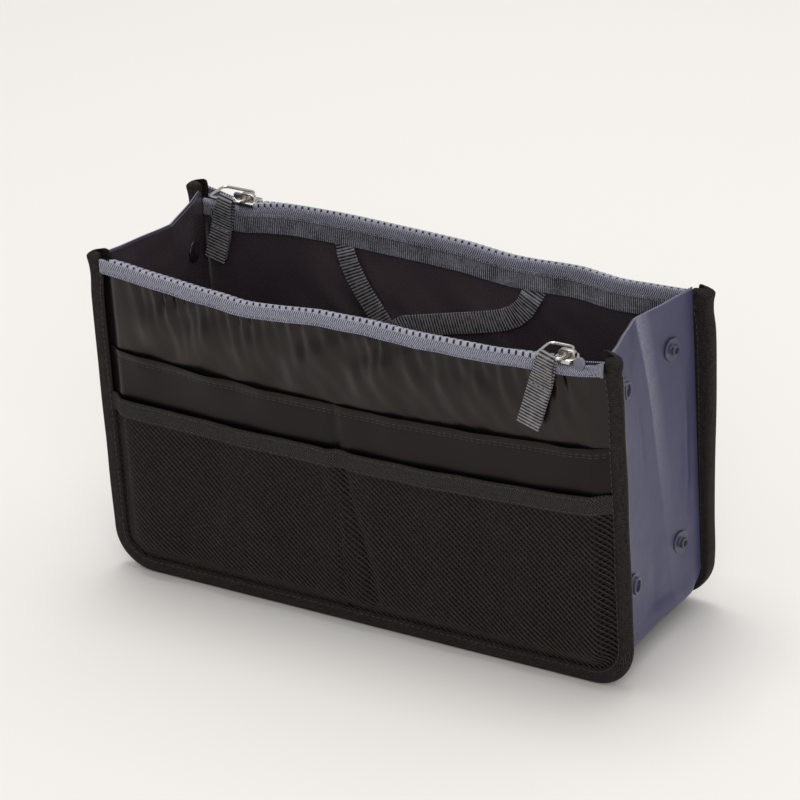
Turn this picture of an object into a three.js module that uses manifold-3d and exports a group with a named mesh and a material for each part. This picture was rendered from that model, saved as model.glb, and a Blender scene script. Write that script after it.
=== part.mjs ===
// Purse organizer insert: two padded zip panels joined by a folding gusset, bound edges,
// outside and inside pockets, webbing handles, and snaps that hold the gusset folded.
// Millimetres, +Z up. Origin on the floor, midway between the panels. The front faces -Y.

import * as THREE from 'three';
import { mergeVertices } from 'three/addons/utils/BufferGeometryUtils.js';
import Module from 'manifold-3d';

const wasm = await Module();
wasm.setup();

// Driving dimensions
const width = 290; // over the bound side edges
const height = 168; // floor to the top of the bound side edges
const gussetHalf = 38.4; // seam to centre crease, measured along the cloth
const openLean = 12; // degrees that each gusset half leans in when the organizer stands open
const foldTravel = 66; // degrees that each half turns from open to folded
const running = 0.3; // clearance between pieces that lie on each other
const overlap = 0.1; // how far joined solids reach into each other

const binding = {
  reach: 9, // seam line to outer edge
  cornerRadius: 22,
  outerLeg: 1,
  innerLeg: 2.3, // tape over the turned seam allowance of the gusset
  edge: 1,
  round: 1.2,
  arcSteps: 8,
};
const innerWall = { thickness: 1.6 };
const outerWall = { lip: 1.5, padding: 4.3, round: 1.8, inset: 0.5 };
const wallDrop = 6.5; // middle of the teeth to the top of both walls
const slipPocket = { thickness: 1, hemThickness: 1.5, hemHeight: 8, inset: 0.6 };
const meshPocket = { thickness: 0.8, border: 3, columns: 13, rows: 10, thread: 1.6 };
const meshHem = { thickness: 1.2, height: 9 };
const innerPocket = { thickness: 1, hem: 0.2, hemHeight: 8, low: 12, endInset: 10 };
// Tops of the pockets, as shares of the height
const topShares = { slip: 0.744, mesh: 0.548, lower: 0.5, inner: 0.595 };
const chain = {
  drop: 4.5, // top of the side edges to the middle of the teeth
  pitch: 3.6,
  thickness: 2.2,
  rootWidth: 1.1,
  tipWidth: 1.9,
  reach: 1.3, // how far a tooth passes the middle of the chain
  spineInner: 1.7,
  spineOuter: 2.9,
  fromSlider: 3, // slider middle to the first closed tooth
  endInset: 6, // seam line to the last tooth
};
const tape = {
  thickness: 0.8,
  legOffset: 3.4, // chain middle to the near face of a leg
  splay: 1,
  splayHigh: 3, // these four are drops below the middle of the teeth
  splayLow: 6,
  outerDrop: 9.5,
  innerDrop: 15.5,
  chamfer: 1,
  sideClearance: 0.6,
};
// The band's top and bottom are drops below the middle of the teeth.
const zipBand = { thickness: 0.8, top: 6.5, bottom: 16.5, endInset: 6 };
const slider = {
  frontFromSeam: 19,
  backFromSeam: 25,
  length: 11,
  plate: 1.2,
  topHalfWidth: 4.6,
  bottomHalfWidth: 3.9,
  flange: 1,
  postLength: 2,
  postHalfWidth: 1,
  noseTaper: 2.4,
  bridgeLength: 8.4,
  bridgeFoot: 1.5,
  bridgeRise: 3.4,
  bridgeRoof: 1.1,
  bridgeHalfWidth: 1.2,
};
const ring = { length: 18.5, halfWidth: 7, wire: 0.8, corner: 3, cornerSteps: 4, sides: 8 };
const tab = {
  width: 12,
  length: 42,
  halfThickness: 1.3,
  eye: 2.2,
  neck: 4,
  tackHigh: 13,
  tackLow: 16,
  tackHalfThickness: 1.55,
  bendEnd: 10,
  frontSway: 15, // degrees in the plane of the panel
  backSway: 8,
  backLean: 7, // degrees towards the middle of the organizer
};
const handle = { width: 12, thickness: 1.4, below: 0.6, above: 0.8 };
// The hanging strap's centre line, seen from inside: shares of its spread and of its drop.
const handleSpreadShare = 0.35; // of the width
const handleDrop = 34;
const handleRouteShares = [
  [-0.5, 0],
  [-0.32, -0.97],
  [-0.08, -0.87],
  [0.4, -0.4],
  [0.5, 0],
];
const gusset = {
  cloth: 0.6,
  skin: 0.1, // outer face of the cloth behind the hinge line
  topDrop: 5, // top of the side edges to the top of the cloth
  hingeInset: 0.3,
  creaseInset: 0.2,
  bottomClearance: 0.5,
};
const bottom = { endInset: 16 };
const corner = { thickness: 1.2, arcSteps: 8, flatFade: 0.5 };
const snap = {
  fromSeam: 15,
  lowRise: 34, // bottom seam to the lower snaps
  highDrop: 20, // top of the cloth to the upper snaps
  flangeRadius: 6.2,
  flange: 1,
  hole: 1.6,
  post: 1.3,
  studRadius: 3.1,
  studNeck: 2.6,
  studHeight: 2.6,
  socketRadius: 4.1,
  socketBore: 3.4,
  socketHeight: 2.2,
  capEdge: 0.5,
  capCrown: 1.3,
  sides: 12,
};

// Places worked out from the driving dimensions
const radians = Math.PI / 180;
const lean = openLean * radians;
const foldedLean = (openLean + foldTravel) * radians;
const seamX = width / 2 - binding.reach;
const seamZ = binding.reach;
const hingeY = gussetHalf * Math.cos(lean);
const seamClearance = running + gusset.skin;
const bindingInner = hingeY + seamClearance;
const channelInner = bindingInner + binding.innerLeg;
const innerWallNear = channelInner + running;
const innerWallFar = innerWallNear + innerWall.thickness;
const outerWallNear = innerWallFar + running;
const channelOuter = outerWallNear + outerWall.lip + running;
const bindingOuter = channelOuter + binding.outerLeg;
const padFace = outerWallNear + outerWall.padding;
const slipNear = padFace + running;
const slipFar = slipNear + slipPocket.thickness;
const meshNear = slipFar + running;
const tapeLegSpan = tape.legOffset + tape.thickness;
const chainY = padFace + running - tape.legOffset;
const bandFar = chainY - tapeLegSpan - running;
const bandNear = bandFar - zipBand.thickness;
const handleFar = bandNear - running - overlap;
const handleNear = handleFar - handle.thickness;
const legEnd = binding.reach - running;
const seamRadius = binding.cornerRadius - binding.reach;
const arcCentreX = width / 2 - binding.cornerRadius;
const arcCentreZ = binding.cornerRadius;
const liningNear = gusset.skin + gusset.cloth + running;
const liningFar = liningNear + gusset.cloth;
const notchClearance = (liningFar + seamClearance) * Math.tan(foldedLean);
const bottomHalf = seamX - bottom.endInset;
const gussetTop = height - gusset.topDrop;
const snapHeights = { lower: seamZ + snap.lowRise, upper: gussetTop - snap.highDrop };
const chainZ = height - chain.drop;
const chainEnd = seamX - chain.endInset;
const wallTop = chainZ - wallDrop;
const meshTop = height * topShares.mesh;
const handlePivot = chainZ - zipBand.bottom - handle.below;
const handleSpread = width * handleSpreadShare;
const plateLow = chainZ + chain.thickness / 2 + running;
const plateTop = plateLow + slider.plate;
const wireHeight = plateTop + running + ring.wire;

// Materials
const cloth = (name, color, roughness) => new THREE.MeshStandardMaterial({
  name,
  color,
  roughness,
  metalness: 0,
  flatShading: true,
});
const satin = cloth('black satin nylon', 0x262423, 0.42);
const pocketCloth = cloth('pocket nylon', 0x2d2a2c, 0.5);
const netCloth = cloth('net', 0x1f1d1c, 0.8);
const bindingTape = cloth('binding tape', 0x34312f, 0.85);
const zipTape = cloth('zip tape', 0x70727d, 0.75);
const bandTape = cloth('stitched band', 0x3a3b40, 0.85);
const webbing = cloth('ribbed webbing', 0x3b3b3f, 0.8);
const liningCloth = cloth('lining', 0x201a20, 0.6);
const gussetCloth = cloth('slate coated nylon', 0x504e62, 0.45);
const snapPlastic = cloth('slate plastic', 0x4a4a5c, 0.4);
const steel = new THREE.MeshStandardMaterial({
  name: 'nickel steel',
  color: 0xd8d5d0,
  roughness: 0.25,
  metalness: 1,
  flatShading: true,
});

// One closed body with merged corners and its faces pointing out
function closed(geometry) {
  geometry.deleteAttribute('normal');
  geometry.deleteAttribute('uv');
  const body = mergeVertices(geometry);
  const place = body.getAttribute('position');
  const merged = body.getIndex().array;
  const index = [];
  const corners = [0, 0, 0].map(() => new THREE.Vector3());
  let volume = 0;
  for (let i = 0; i < merged.length; i += corners.length) {
    const face = merged.slice(i, i + corners.length);
    if (new Set(face).size === corners.length) {
      index.push(...face);
      const [a, b, c] = corners.map((corner, j) => corner.fromBufferAttribute(place, face[j]));
      volume += a.dot(b.cross(c));
    }
  }
  body.setIndex(volume < 0 ? index.reverse() : index);
  body.computeVertexNormals();
  return body;
}

function toSolid(geometry) {
  const body = closed(geometry);
  return new wasm.Manifold(new wasm.Mesh({
    numProp: 3,
    vertProperties: new Float32Array(body.getAttribute('position').array),
    triVerts: new Uint32Array(body.getIndex().array),
  }));
}

function fromSolid(solid) {
  const mesh = solid.getMesh();
  const geometry = new THREE.BufferGeometry();
  geometry.setAttribute('position', new THREE.BufferAttribute(mesh.vertProperties, 3));
  geometry.setIndex(new THREE.BufferAttribute(mesh.triVerts, 1));
  return geometry;
}

function join(...geometries) {
  let solid = toSolid(geometries[0]);
  for (const other of geometries.slice(1)) {
    solid = solid.add(toSolid(other));
  }
  return fromSolid(solid);
}

function piece(name, geometry, material) {
  const mesh = new THREE.Mesh(closed(geometry), material);
  mesh.name = name;
  return mesh;
}

function block(low, high) {
  const size = high.map((value, i) => value - low[i]);
  const geometry = new THREE.BoxGeometry(...size);
  geometry.translate(...low.map((value, i) => value + size[i] / 2));
  return geometry;
}

function extrude(shape, depth, extra = {}) {
  return new THREE.ExtrudeGeometry(shape, { depth, bevelEnabled: false, ...extra });
}

// A flat piece parallel to the panels: its outline is in X and Z, its faces at two Y places
function panelSlab(shape, near, far) {
  const geometry = extrude(shape, far - near);
  geometry.rotateX(Math.PI / 2);
  geometry.translate(0, far, 0);
  return geometry;
}

// A profile in Y and Z drawn out along X
function alongX(points, from, to) {
  const geometry = extrude(new THREE.Shape(points), to - from);
  const basis = new THREE.Matrix4().makeBasis(
    new THREE.Vector3(0, 1, 0),
    new THREE.Vector3(0, 0, 1),
    new THREE.Vector3(1, 0, 0),
  );
  geometry.applyMatrix4(basis);
  geometry.translate(from, 0, 0);
  return geometry;
}

// A body skinned over rings of points; an open run gets end caps cut from the section outline
function skin(rings, section) {
  const count = rings[0].length;
  const corners = rings.flat().flatMap((p) => [p.x, p.y, p.z]);
  const index = [];
  const runs = section ? rings.length - 1 : rings.length;
  for (let i = 0; i < runs; i += 1) {
    const here = i * count;
    const there = ((i + 1) % rings.length) * count;
    for (let j = 0; j < count; j += 1) {
      const k = (j + 1) % count;
      index.push(here + j, here + k, there + k);
      index.push(here + j, there + k, there + j);
    }
  }
  if (section) {
    const last = (rings.length - 1) * count;
    const flip = THREE.ShapeUtils.area(section) < 0 ? 1 : -1;
    for (const face of THREE.ShapeUtils.triangulateShape(section, [])) {
      const [a, b, c] = flip > 0 ? face : [face[0], face[2], face[1]];
      index.push(a, b, c);
      index.push(last + a, last + c, last + b);
    }
  }
  const geometry = new THREE.BufferGeometry();
  geometry.setAttribute('position', new THREE.Float32BufferAttribute(corners, 3));
  geometry.setIndex(index);
  return geometry;
}

// A curved sheet of cloth between two grids of points, given row by row
function clothSheet(outerRows, innerRows) {
  const rows = outerRows.length;
  const columns = outerRows[0].length;
  const corners = [...outerRows.flat(), ...innerRows.flat()].flatMap((p) => [p.x, p.y, p.z]);
  const at = (layer, row, column) => (layer * rows + row) * columns + column;
  const index = [];
  const quad = (a, b, c, d) => index.push(a, b, c, a, c, d);
  for (let r = 0; r < rows - 1; r += 1) {
    for (let c = 0; c < columns - 1; c += 1) {
      quad(at(0, r, c), at(0, r, c + 1), at(0, r + 1, c + 1), at(0, r + 1, c));
      quad(at(1, r, c), at(1, r + 1, c), at(1, r + 1, c + 1), at(1, r, c + 1));
    }
    quad(at(0, r, 0), at(0, r + 1, 0), at(1, r + 1, 0), at(1, r, 0));
    const e = columns - 1;
    quad(at(0, r, e), at(1, r, e), at(1, r + 1, e), at(0, r + 1, e));
  }
  for (let c = 0; c < columns - 1; c += 1) {
    quad(at(0, 0, c), at(1, 0, c), at(1, 0, c + 1), at(0, 0, c + 1));
    const e = rows - 1;
    quad(at(0, e, c), at(0, e, c + 1), at(1, e, c + 1), at(1, e, c));
  }
  const geometry = new THREE.BufferGeometry();
  geometry.setAttribute('position', new THREE.Float32BufferAttribute(corners, 3));
  geometry.setIndex(index);
  return geometry;
}

// A panel outline with rounded lower corners, set in from the outer edge of the binding
function panelOutline(inset, top) {
  const side = width / 2 - inset;
  const radius = binding.cornerRadius - inset;
  const points = [new THREE.Vector2(side, top), new THREE.Vector2(-side, top)];
  for (const [centreX, start] of [[-arcCentreX, Math.PI], [arcCentreX, Math.PI * 1.5]]) {
    for (let i = 0; i <= binding.arcSteps; i += 1) {
      const angle = start + (i / binding.arcSteps) * (Math.PI / 2);
      points.push(new THREE.Vector2(
        centreX + Math.cos(angle) * radius,
        arcCentreZ + Math.sin(angle) * radius,
      ));
    }
  }
  return new THREE.Shape(points);
}

function roundedSlab(inset, top, near, far) {
  return panelSlab(panelOutline(inset, top), near, far);
}

// Binding: a folded tape in a C section, swept down one side, round the bottom and up the other
function bindingGeometry() {
  const section = [
    [legEnd, bindingOuter],
    [binding.round, bindingOuter],
    [0, bindingOuter - binding.round],
    [0, bindingInner + binding.round],
    [binding.round, bindingInner],
    [legEnd, bindingInner],
    [legEnd, channelInner],
    [binding.edge, channelInner],
    [binding.edge, channelOuter],
    [legEnd, channelOuter],
  ].map(([inwards, y]) => new THREE.Vector2(inwards, y));
  const stations = [{ x: -width / 2, z: height, nx: 1, nz: 0 }];
  const addArc = (centreX, startAngle) => {
    for (let i = 0; i <= binding.arcSteps; i += 1) {
      const angle = startAngle + (i / binding.arcSteps) * (Math.PI / 2);
      const nx = -Math.cos(angle);
      const nz = -Math.sin(angle);
      stations.push({
        x: centreX - nx * binding.cornerRadius,
        z: arcCentreZ - nz * binding.cornerRadius,
        nx,
        nz,
      });
    }
  };
  addArc(-arcCentreX, Math.PI);
  addArc(arcCentreX, Math.PI * 1.5);
  stations.push({ x: width / 2, z: height, nx: -1, nz: 0 });
  const rings = stations.map(({ x, z, nx, nz }) => section.map(
    (p) => new THREE.Vector3(x + p.x * nx, p.y, z + p.x * nz),
  ));
  return skin(rings, section);
}

// Outer wall: padded cloth with a thin lip held in the binding
function outerWallGeometry() {
  const lip = roundedSlab(
    binding.edge + running,
    wallTop,
    outerWallNear,
    outerWallNear + outerWall.lip,
  );
  const padInset = binding.reach + outerWall.inset + outerWall.round;
  const pad = new THREE.ExtrudeGeometry(panelOutline(padInset, wallTop - outerWall.round), {
    depth: padFace - outerWallNear - outerWall.round * 2,
    bevelThickness: outerWall.round,
    bevelSize: outerWall.round,
    bevelSegments: 2,
  });
  pad.rotateX(Math.PI / 2);
  pad.translate(0, padFace - outerWall.round, 0);
  return join(lip, pad);
}

function slipPocketGeometry(top) {
  const inset = binding.reach + slipPocket.inset;
  const body = roundedSlab(inset, top, slipNear, slipFar);
  const side = width / 2 - inset;
  const hem = block(
    [-side, slipNear, top - slipPocket.hemHeight],
    [side, slipNear + slipPocket.hemThickness, top],
  );
  return join(body, hem);
}

// Mesh pocket: a flat net of crossing diagonal threads inside a plain border
function meshPocketGeometry() {
  const inset = binding.reach + slipPocket.inset;
  const inner = inset + meshPocket.border;
  const far = meshNear + meshPocket.thickness;
  const cut = (edge, top, spare) => toSolid(
    panelSlab(panelOutline(edge, top), meshNear - spare, far + spare),
  );
  const whole = cut(inset, meshTop, 0);
  const window = cut(inner, meshTop - meshPocket.border, overlap);
  const halfX = width / 2 - inner;
  const spanZ = meshTop - meshPocket.border - inner;
  const pitchX = (halfX * 2) / meshPocket.columns;
  const pitchZ = (spanZ * 2) / meshPocket.rows;
  const slope = Math.atan2(pitchZ, pitchX);
  const reach = Math.hypot(spanZ, (spanZ * pitchX) / pitchZ);
  const spare = Math.ceil((spanZ * pitchX) / pitchZ / 2 / pitchX);
  let net = whole.subtract(window);
  for (const turn of [slope, -slope]) {
    for (let i = -spare; i <= meshPocket.columns + spare; i += 1) {
      const thread = block(
        [-reach, -meshPocket.thickness / 2, -meshPocket.thread / 2],
        [reach, meshPocket.thickness / 2, meshPocket.thread / 2],
      );
      thread.rotateY(turn);
      thread.translate(-halfX + i * pitchX, (meshNear + far) / 2, inner + spanZ / 2);
      net = net.add(toSolid(thread).intersect(whole));
    }
  }
  return fromSolid(net);
}

function meshHemGeometry() {
  const side = width / 2 - binding.reach - slipPocket.inset;
  return block(
    [-side, meshNear, meshTop + running],
    [side, meshNear + meshHem.thickness, meshTop + meshHem.height],
  );
}

// Inner pocket: profile with a turned hem along its mouth
function innerPocketGeometry() {
  const far = innerWallNear - running;
  const near = far - innerPocket.thickness;
  const top = height * topShares.inner;
  const hemLow = top - innerPocket.hemHeight;
  const half = seamX - innerPocket.endInset;
  const profile = [
    [far, innerPocket.low],
    [far, top],
    [near - innerPocket.hem, top],
    [near - innerPocket.hem, hemLow],
    [near, hemLow],
    [near, innerPocket.low],
  ].map(([y, z]) => new THREE.Vector2(y, z));
  return alongX(profile, -half, half);
}

// Zip half: a tape folded over the panel's top edge, with its row of dovetail teeth.
// Side 1 is the outer tape and side -1 the inner one, half a pitch along.
function zipHalfGeometry(side, sliderX) {
  const end = chainZ - (side > 0 ? tape.outerDrop : tape.innerDrop);
  const splayHigh = chainZ - tape.splayHigh;
  const splayLow = chainZ - tape.splayLow;
  const near = tape.legOffset;
  const far = tapeLegSpan;
  const webLow = chainZ - tape.thickness / 2;
  const webTop = webLow + tape.thickness;
  const root = chain.spineOuter - running;
  const profile = [
    [root, webLow],
    [near + tape.splay, webLow],
    [near + tape.splay, splayHigh],
    [near, splayLow],
    [near, end],
    [far, end],
    [far, splayLow],
    [far + tape.splay, splayHigh],
    [far + tape.splay, webTop - tape.chamfer],
    [far + tape.splay - tape.chamfer, webTop],
    [root, webTop],
  ].map(([offset, z]) => new THREE.Vector2(chainY + side * offset, z));
  const half = seamX - tape.sideClearance;
  const sheet = alongX(profile, -half, half);
  const shift = side > 0 ? 0 : chain.pitch / 2;
  const comb = new THREE.Shape();
  comb.moveTo(-half, chain.spineOuter);
  comb.lineTo(-half, chain.spineInner);
  const start = sliderX + chain.fromSlider;
  const count = Math.floor((chainEnd - start - chain.pitch) / chain.pitch);
  for (let i = 0; i < count; i += 1) {
    const x = start + shift + (i + 1 / 2) * chain.pitch;
    comb.lineTo(x - chain.rootWidth / 2, chain.spineInner);
    comb.lineTo(x - chain.tipWidth / 2, -chain.reach);
    comb.lineTo(x + chain.tipWidth / 2, -chain.reach);
    comb.lineTo(x + chain.rootWidth / 2, chain.spineInner);
  }
  comb.lineTo(half, chain.spineInner);
  comb.lineTo(half, chain.spineOuter);
  comb.closePath();
  const teeth = extrude(comb, chain.thickness);
  teeth.scale(1, side, 1);
  teeth.translate(0, chainY, chainZ - chain.thickness / 2);
  return join(sheet, teeth);
}

// Slider: two plates held apart by the post that parts the teeth, and a bridge for the ring
function sliderGeometry(sliderX) {
  const half = slider.length / 2;
  const nose = half - slider.noseTaper;
  const plateShape = (halfWidth) => new THREE.Shape([
    [-half, slider.postHalfWidth],
    [-half, -slider.postHalfWidth],
    [-nose, -halfWidth],
    [half, -halfWidth],
    [half, halfWidth],
    [-nose, halfWidth],
  ].map(([x, y]) => new THREE.Vector2(x, y)));
  const top = extrude(plateShape(slider.topHalfWidth), slider.plate);
  top.translate(0, 0, plateLow);
  const lowTop = chainZ - chain.thickness / 2 - running;
  const low = extrude(plateShape(slider.bottomHalfWidth), slider.plate);
  low.translate(0, 0, lowTop - slider.plate);
  const post = block(
    [-half + running, -slider.postHalfWidth, lowTop - overlap],
    [-half + running + slider.postLength, slider.postHalfWidth, plateLow + overlap],
  );
  const flangeLow = chainZ + tape.thickness / 2 + running;
  const flanges = [-1, 1].map((side) => {
    const outer = side * slider.topHalfWidth;
    const inner = side * (slider.topHalfWidth - slider.flange);
    return block(
      [-nose, Math.min(outer, inner), flangeLow],
      [half, Math.max(outer, inner), plateLow + overlap],
    );
  });
  const reach = slider.bridgeLength / 2;
  const foot = reach - slider.bridgeFoot;
  const roof = plateTop + slider.bridgeRise;
  const under = roof - slider.bridgeRoof;
  const arch = new THREE.Shape([
    [-reach, plateTop - overlap],
    [-foot, plateTop - overlap],
    [-foot, under],
    [foot, under],
    [foot, plateTop - overlap],
    [reach, plateTop - overlap],
    [reach, under],
    [foot, roof],
    [-foot, roof],
    [-reach, under],
  ].map(([x, z]) => new THREE.Vector2(x, z)));
  const bridge = extrude(arch, slider.bridgeHalfWidth * 2);
  bridge.rotateX(Math.PI / 2);
  bridge.translate(0, slider.bridgeHalfWidth, 0);
  const geometry = join(top, low, post, ...flanges, bridge);
  geometry.translate(sliderX, chainY, 0);
  return geometry;
}

// Ring: a rounded oblong of wire that runs through the bridge, lying flat
function ringGeometry(direction, sliderX) {
  const path = [];
  const inner = ring.length - ring.corner;
  const side = ring.halfWidth - ring.corner;
  const corners = [
    [ring.corner, -side, Math.PI],
    [inner, -side, Math.PI * 1.5],
    [inner, side, 0],
    [ring.corner, side, Math.PI / 2],
  ];
  for (const [x, y, start] of corners) {
    for (let i = 0; i <= ring.cornerSteps; i += 1) {
      const angle = start + (i / ring.cornerSteps) * (Math.PI / 2);
      path.push(new THREE.Vector2(
        x + Math.cos(angle) * ring.corner,
        y + Math.sin(angle) * ring.corner,
      ));
    }
  }
  const rings = path.map((point, i) => {
    const before = path[(i + path.length - 1) % path.length];
    const after = path[(i + 1) % path.length];
    const along = after.clone().sub(before).normalize();
    return Array.from({ length: ring.sides }, (_, j) => {
      const angle = (j / ring.sides) * Math.PI * 2;
      const out = Math.cos(angle) * ring.wire;
      return new THREE.Vector3(
        direction * (point.x + along.y * out),
        point.y - along.x * out,
        Math.sin(angle) * ring.wire,
      );
    });
  });
  const geometry = skin(rings, null);
  geometry.translate(sliderX, chainY, wireHeight);
  return geometry;
}

// Pull tab: webbing folded double round the ring's side wire, sewn across, hanging with a sway
function tabGeometry(swayDegrees, leanDegrees) {
  const straight = [tab.neck, tab.bendEnd, tab.tackHigh];
  const outline = [];
  const eyeSteps = 6;
  for (let i = 0; i <= eyeSteps; i += 1) {
    const angle = (i / eyeSteps) * Math.PI;
    outline.push([Math.cos(angle) * tab.eye, Math.sin(angle) * tab.eye]);
  }
  const side = [
    ...straight.map((drop) => [tab.halfThickness, -drop]),
    [tab.tackHalfThickness, -tab.tackHigh - running],
    [tab.tackHalfThickness, -tab.tackLow + running],
    [tab.halfThickness, -tab.tackLow],
    [tab.halfThickness, -(tab.length - tab.eye)],
  ];
  outline.push(...side.map(([y, z]) => [-y, z]));
  outline.push(...side.reverse());
  const shape = new THREE.Shape(outline.map(([y, z]) => new THREE.Vector2(y, z)));
  const eye = new THREE.Path();
  eye.absarc(0, 0, ring.wire + running, 0, Math.PI * 2, true);
  shape.holes.push(eye);
  const geometry = extrude(shape, tab.width, { curveSegments: eyeSteps });
  const basis = new THREE.Matrix4().makeBasis(
    new THREE.Vector3(0, 1, 0),
    new THREE.Vector3(0, 0, 1),
    new THREE.Vector3(1, 0, 0),
  );
  geometry.applyMatrix4(basis);
  geometry.translate(-tab.width / 2, 0, 0);
  const sway = swayDegrees * radians;
  const tilt = Math.tan(leanDegrees * radians);
  const place = geometry.getAttribute('position');
  for (let i = 0; i < place.count; i += 1) {
    const x = place.getX(i);
    const z = place.getZ(i);
    const drop = Math.max(0, -z - tab.neck);
    const bend = Math.min(1, drop / (tab.bendEnd - tab.neck)) * sway;
    place.setX(i, x * Math.cos(bend) - drop * Math.sin(bend));
    place.setZ(i, z + drop - drop * Math.cos(bend) + x * Math.sin(bend));
    place.setY(i, place.getY(i) - drop * tilt);
  }
  return geometry;
}

// Handle: a strap that hangs in the plane of the wall, folded where it turns
function handleGeometry() {
  const route = handleRouteShares.map(([across, down]) => new THREE.Vector2(
    across * handleSpread,
    down * handleDrop,
  ));
  const half = handle.width / 2;
  const left = [];
  const right = [];
  route.forEach((point, i) => {
    const before = route[Math.max(0, i - 1)];
    const after = route[Math.min(route.length - 1, i + 1)];
    const into = point.clone().sub(before);
    const out = after.clone().sub(point);
    const first = (into.length() > 0 ? into : out).normalize();
    const second = (out.length() > 0 ? out : into).normalize();
    const along = first.clone().add(second).normalize();
    const isEnd = i === 0 || i === route.length - 1;
    const across = isEnd ? new THREE.Vector2(1, 0) : new THREE.Vector2(-along.y, along.x);
    const normal = new THREE.Vector2(-first.y, first.x);
    const stretch = half / Math.abs(across.dot(normal));
    const offset = across.multiplyScalar(stretch * Math.sign(across.dot(normal)));
    left.push(point.clone().add(offset));
    right.push(point.clone().sub(offset));
  });
  const raise = (p) => new THREE.Vector2(p.x, p.y + handle.above);
  const outline = [
    raise(left[0]),
    ...left,
    raise(left[left.length - 1]),
    raise(right[right.length - 1]),
    ...right.reverse(),
    raise(right[right.length - 1]),
  ];
  return panelSlab(new THREE.Shape(outline), 0, handle.thickness);
}

// One panel in its own frame: +Y is outwards and its slider is at the -X end
function buildPanel(name, options) {
  const group = new THREE.Group();
  const add = (part, geometry, material) => {
    const mesh = piece(`${name}_${part}`, geometry, material);
    group.add(mesh);
    return mesh;
  };
  add('binding', bindingGeometry(), bindingTape);
  add('outer_wall', outerWallGeometry(), satin);
  add('inner_wall', roundedSlab(
    binding.edge + running,
    wallTop,
    innerWallNear,
    innerWallFar,
  ), liningCloth);
  add('inner_pocket', innerPocketGeometry(), liningCloth);
  add('zip_outer_tape', zipHalfGeometry(1, options.sliderX), zipTape);
  add('zip_inner_tape', zipHalfGeometry(-1, options.sliderX), zipTape);
  add('zip_band', block(
    [zipBand.endInset - seamX, bandNear, chainZ - zipBand.bottom],
    [seamX - zipBand.endInset, bandFar, chainZ - zipBand.top],
  ), bandTape);
  add('slider', sliderGeometry(options.sliderX), steel);
  add('pull_ring', ringGeometry(options.ringDirection, options.sliderX), steel);
  const pull = add('pull_tab', tabGeometry(options.sway, options.lean), webbing);
  pull.position.set(
    options.sliderX + options.ringDirection * (ring.length / 2),
    chainY + options.pullSide * ring.halfWidth,
    wireHeight,
  );
  const strap = add('handle', handleGeometry(), webbing);
  strap.position.set(0, handleNear, handlePivot);
  return group;
}

const lathe = (points) => new THREE.LatheGeometry(
  points.map(([radius, y]) => new THREE.Vector2(radius, y)),
  snap.sides,
);

// Snap pieces in the frame of a gusset half: +Y is into the organizer, 0 is the hinge surface
function studGeometry() {
  const face = gusset.skin - running;
  const flange = face - snap.flange;
  const tip = flange - snap.studHeight;
  return lathe([
    [0, flange],
    [snap.hole, flange],
    [snap.hole, face],
    [snap.flangeRadius, face],
    [snap.flangeRadius, flange],
    [snap.studNeck, flange],
    [snap.studRadius, (flange + tip) / 2],
    [snap.studNeck, tip],
    [0, tip],
  ]);
}

function socketGeometry() {
  const face = gusset.skin - running;
  const flange = face - snap.flange;
  const floor = flange - running;
  const tip = flange - snap.socketHeight;
  return lathe([
    [0, flange],
    [snap.hole, flange],
    [snap.hole, face],
    [snap.flangeRadius, face],
    [snap.flangeRadius, flange],
    [snap.socketRadius, flange],
    [snap.socketRadius, tip],
    [snap.socketBore, tip],
    [snap.socketBore, floor],
    [0, floor],
  ]);
}

function capGeometry() {
  const seat = liningFar + running;
  const postTip = gusset.skin - running - snap.flange + running;
  return lathe([
    [0, postTip],
    [snap.post, postTip],
    [snap.post, seat],
    [snap.flangeRadius, seat],
    [snap.flangeRadius, seat + snap.capEdge],
    [snap.flangeRadius / 2, seat + snap.capCrown],
    [0, seat + snap.capCrown],
  ]);
}

// One half of a side gusset. Local X runs from the seam to the crease, and inward is the
// sign of the local Y that points into the organizer.
function buildGussetHalf(name, inward, snapName, snapGeometry) {
  const group = new THREE.Group();
  const low = seamZ + seamRadius + gusset.bottomClearance;
  const sheet = (near, far) => {
    const shape = new THREE.Shape([
      new THREE.Vector2(gusset.hingeInset, low),
      new THREE.Vector2(gussetHalf - gusset.creaseInset, low),
      new THREE.Vector2(gussetHalf - gusset.creaseInset, gussetTop),
      new THREE.Vector2(gusset.hingeInset, gussetTop),
    ]);
    for (const z of Object.values(snapHeights)) {
      const hole = new THREE.Path();
      hole.absarc(snap.fromSeam, z, snap.hole, 0, Math.PI * 2, true);
      shape.holes.push(hole);
    }
    const geometry = extrude(shape, far - near, { curveSegments: snap.sides / 2 });
    geometry.rotateX(Math.PI / 2);
    geometry.translate(0, inward > 0 ? far : -near, 0);
    return geometry;
  };
  group.add(piece(name, sheet(gusset.skin, gusset.skin + gusset.cloth), gussetCloth));
  group.add(piece(`${name}_lining`, sheet(liningNear, liningFar), liningCloth));
  for (const [level, z] of Object.entries(snapHeights)) {
    const parts = [
      piece(`${name}_${level}_${snapName}`, snapGeometry(), snapPlastic),
      piece(`${name}_${level}_cap`, capGeometry(), snapPlastic),
    ];
    for (const part of parts) {
      part.position.set(snap.fromSeam, 0, z);
      part.rotation.x = inward > 0 ? 0 : Math.PI;
      group.add(part);
    }
  }
  return group;
}

const snapHalves = {
  rear: ['stud', studGeometry],
  front: ['socket', socketGeometry],
};

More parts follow.
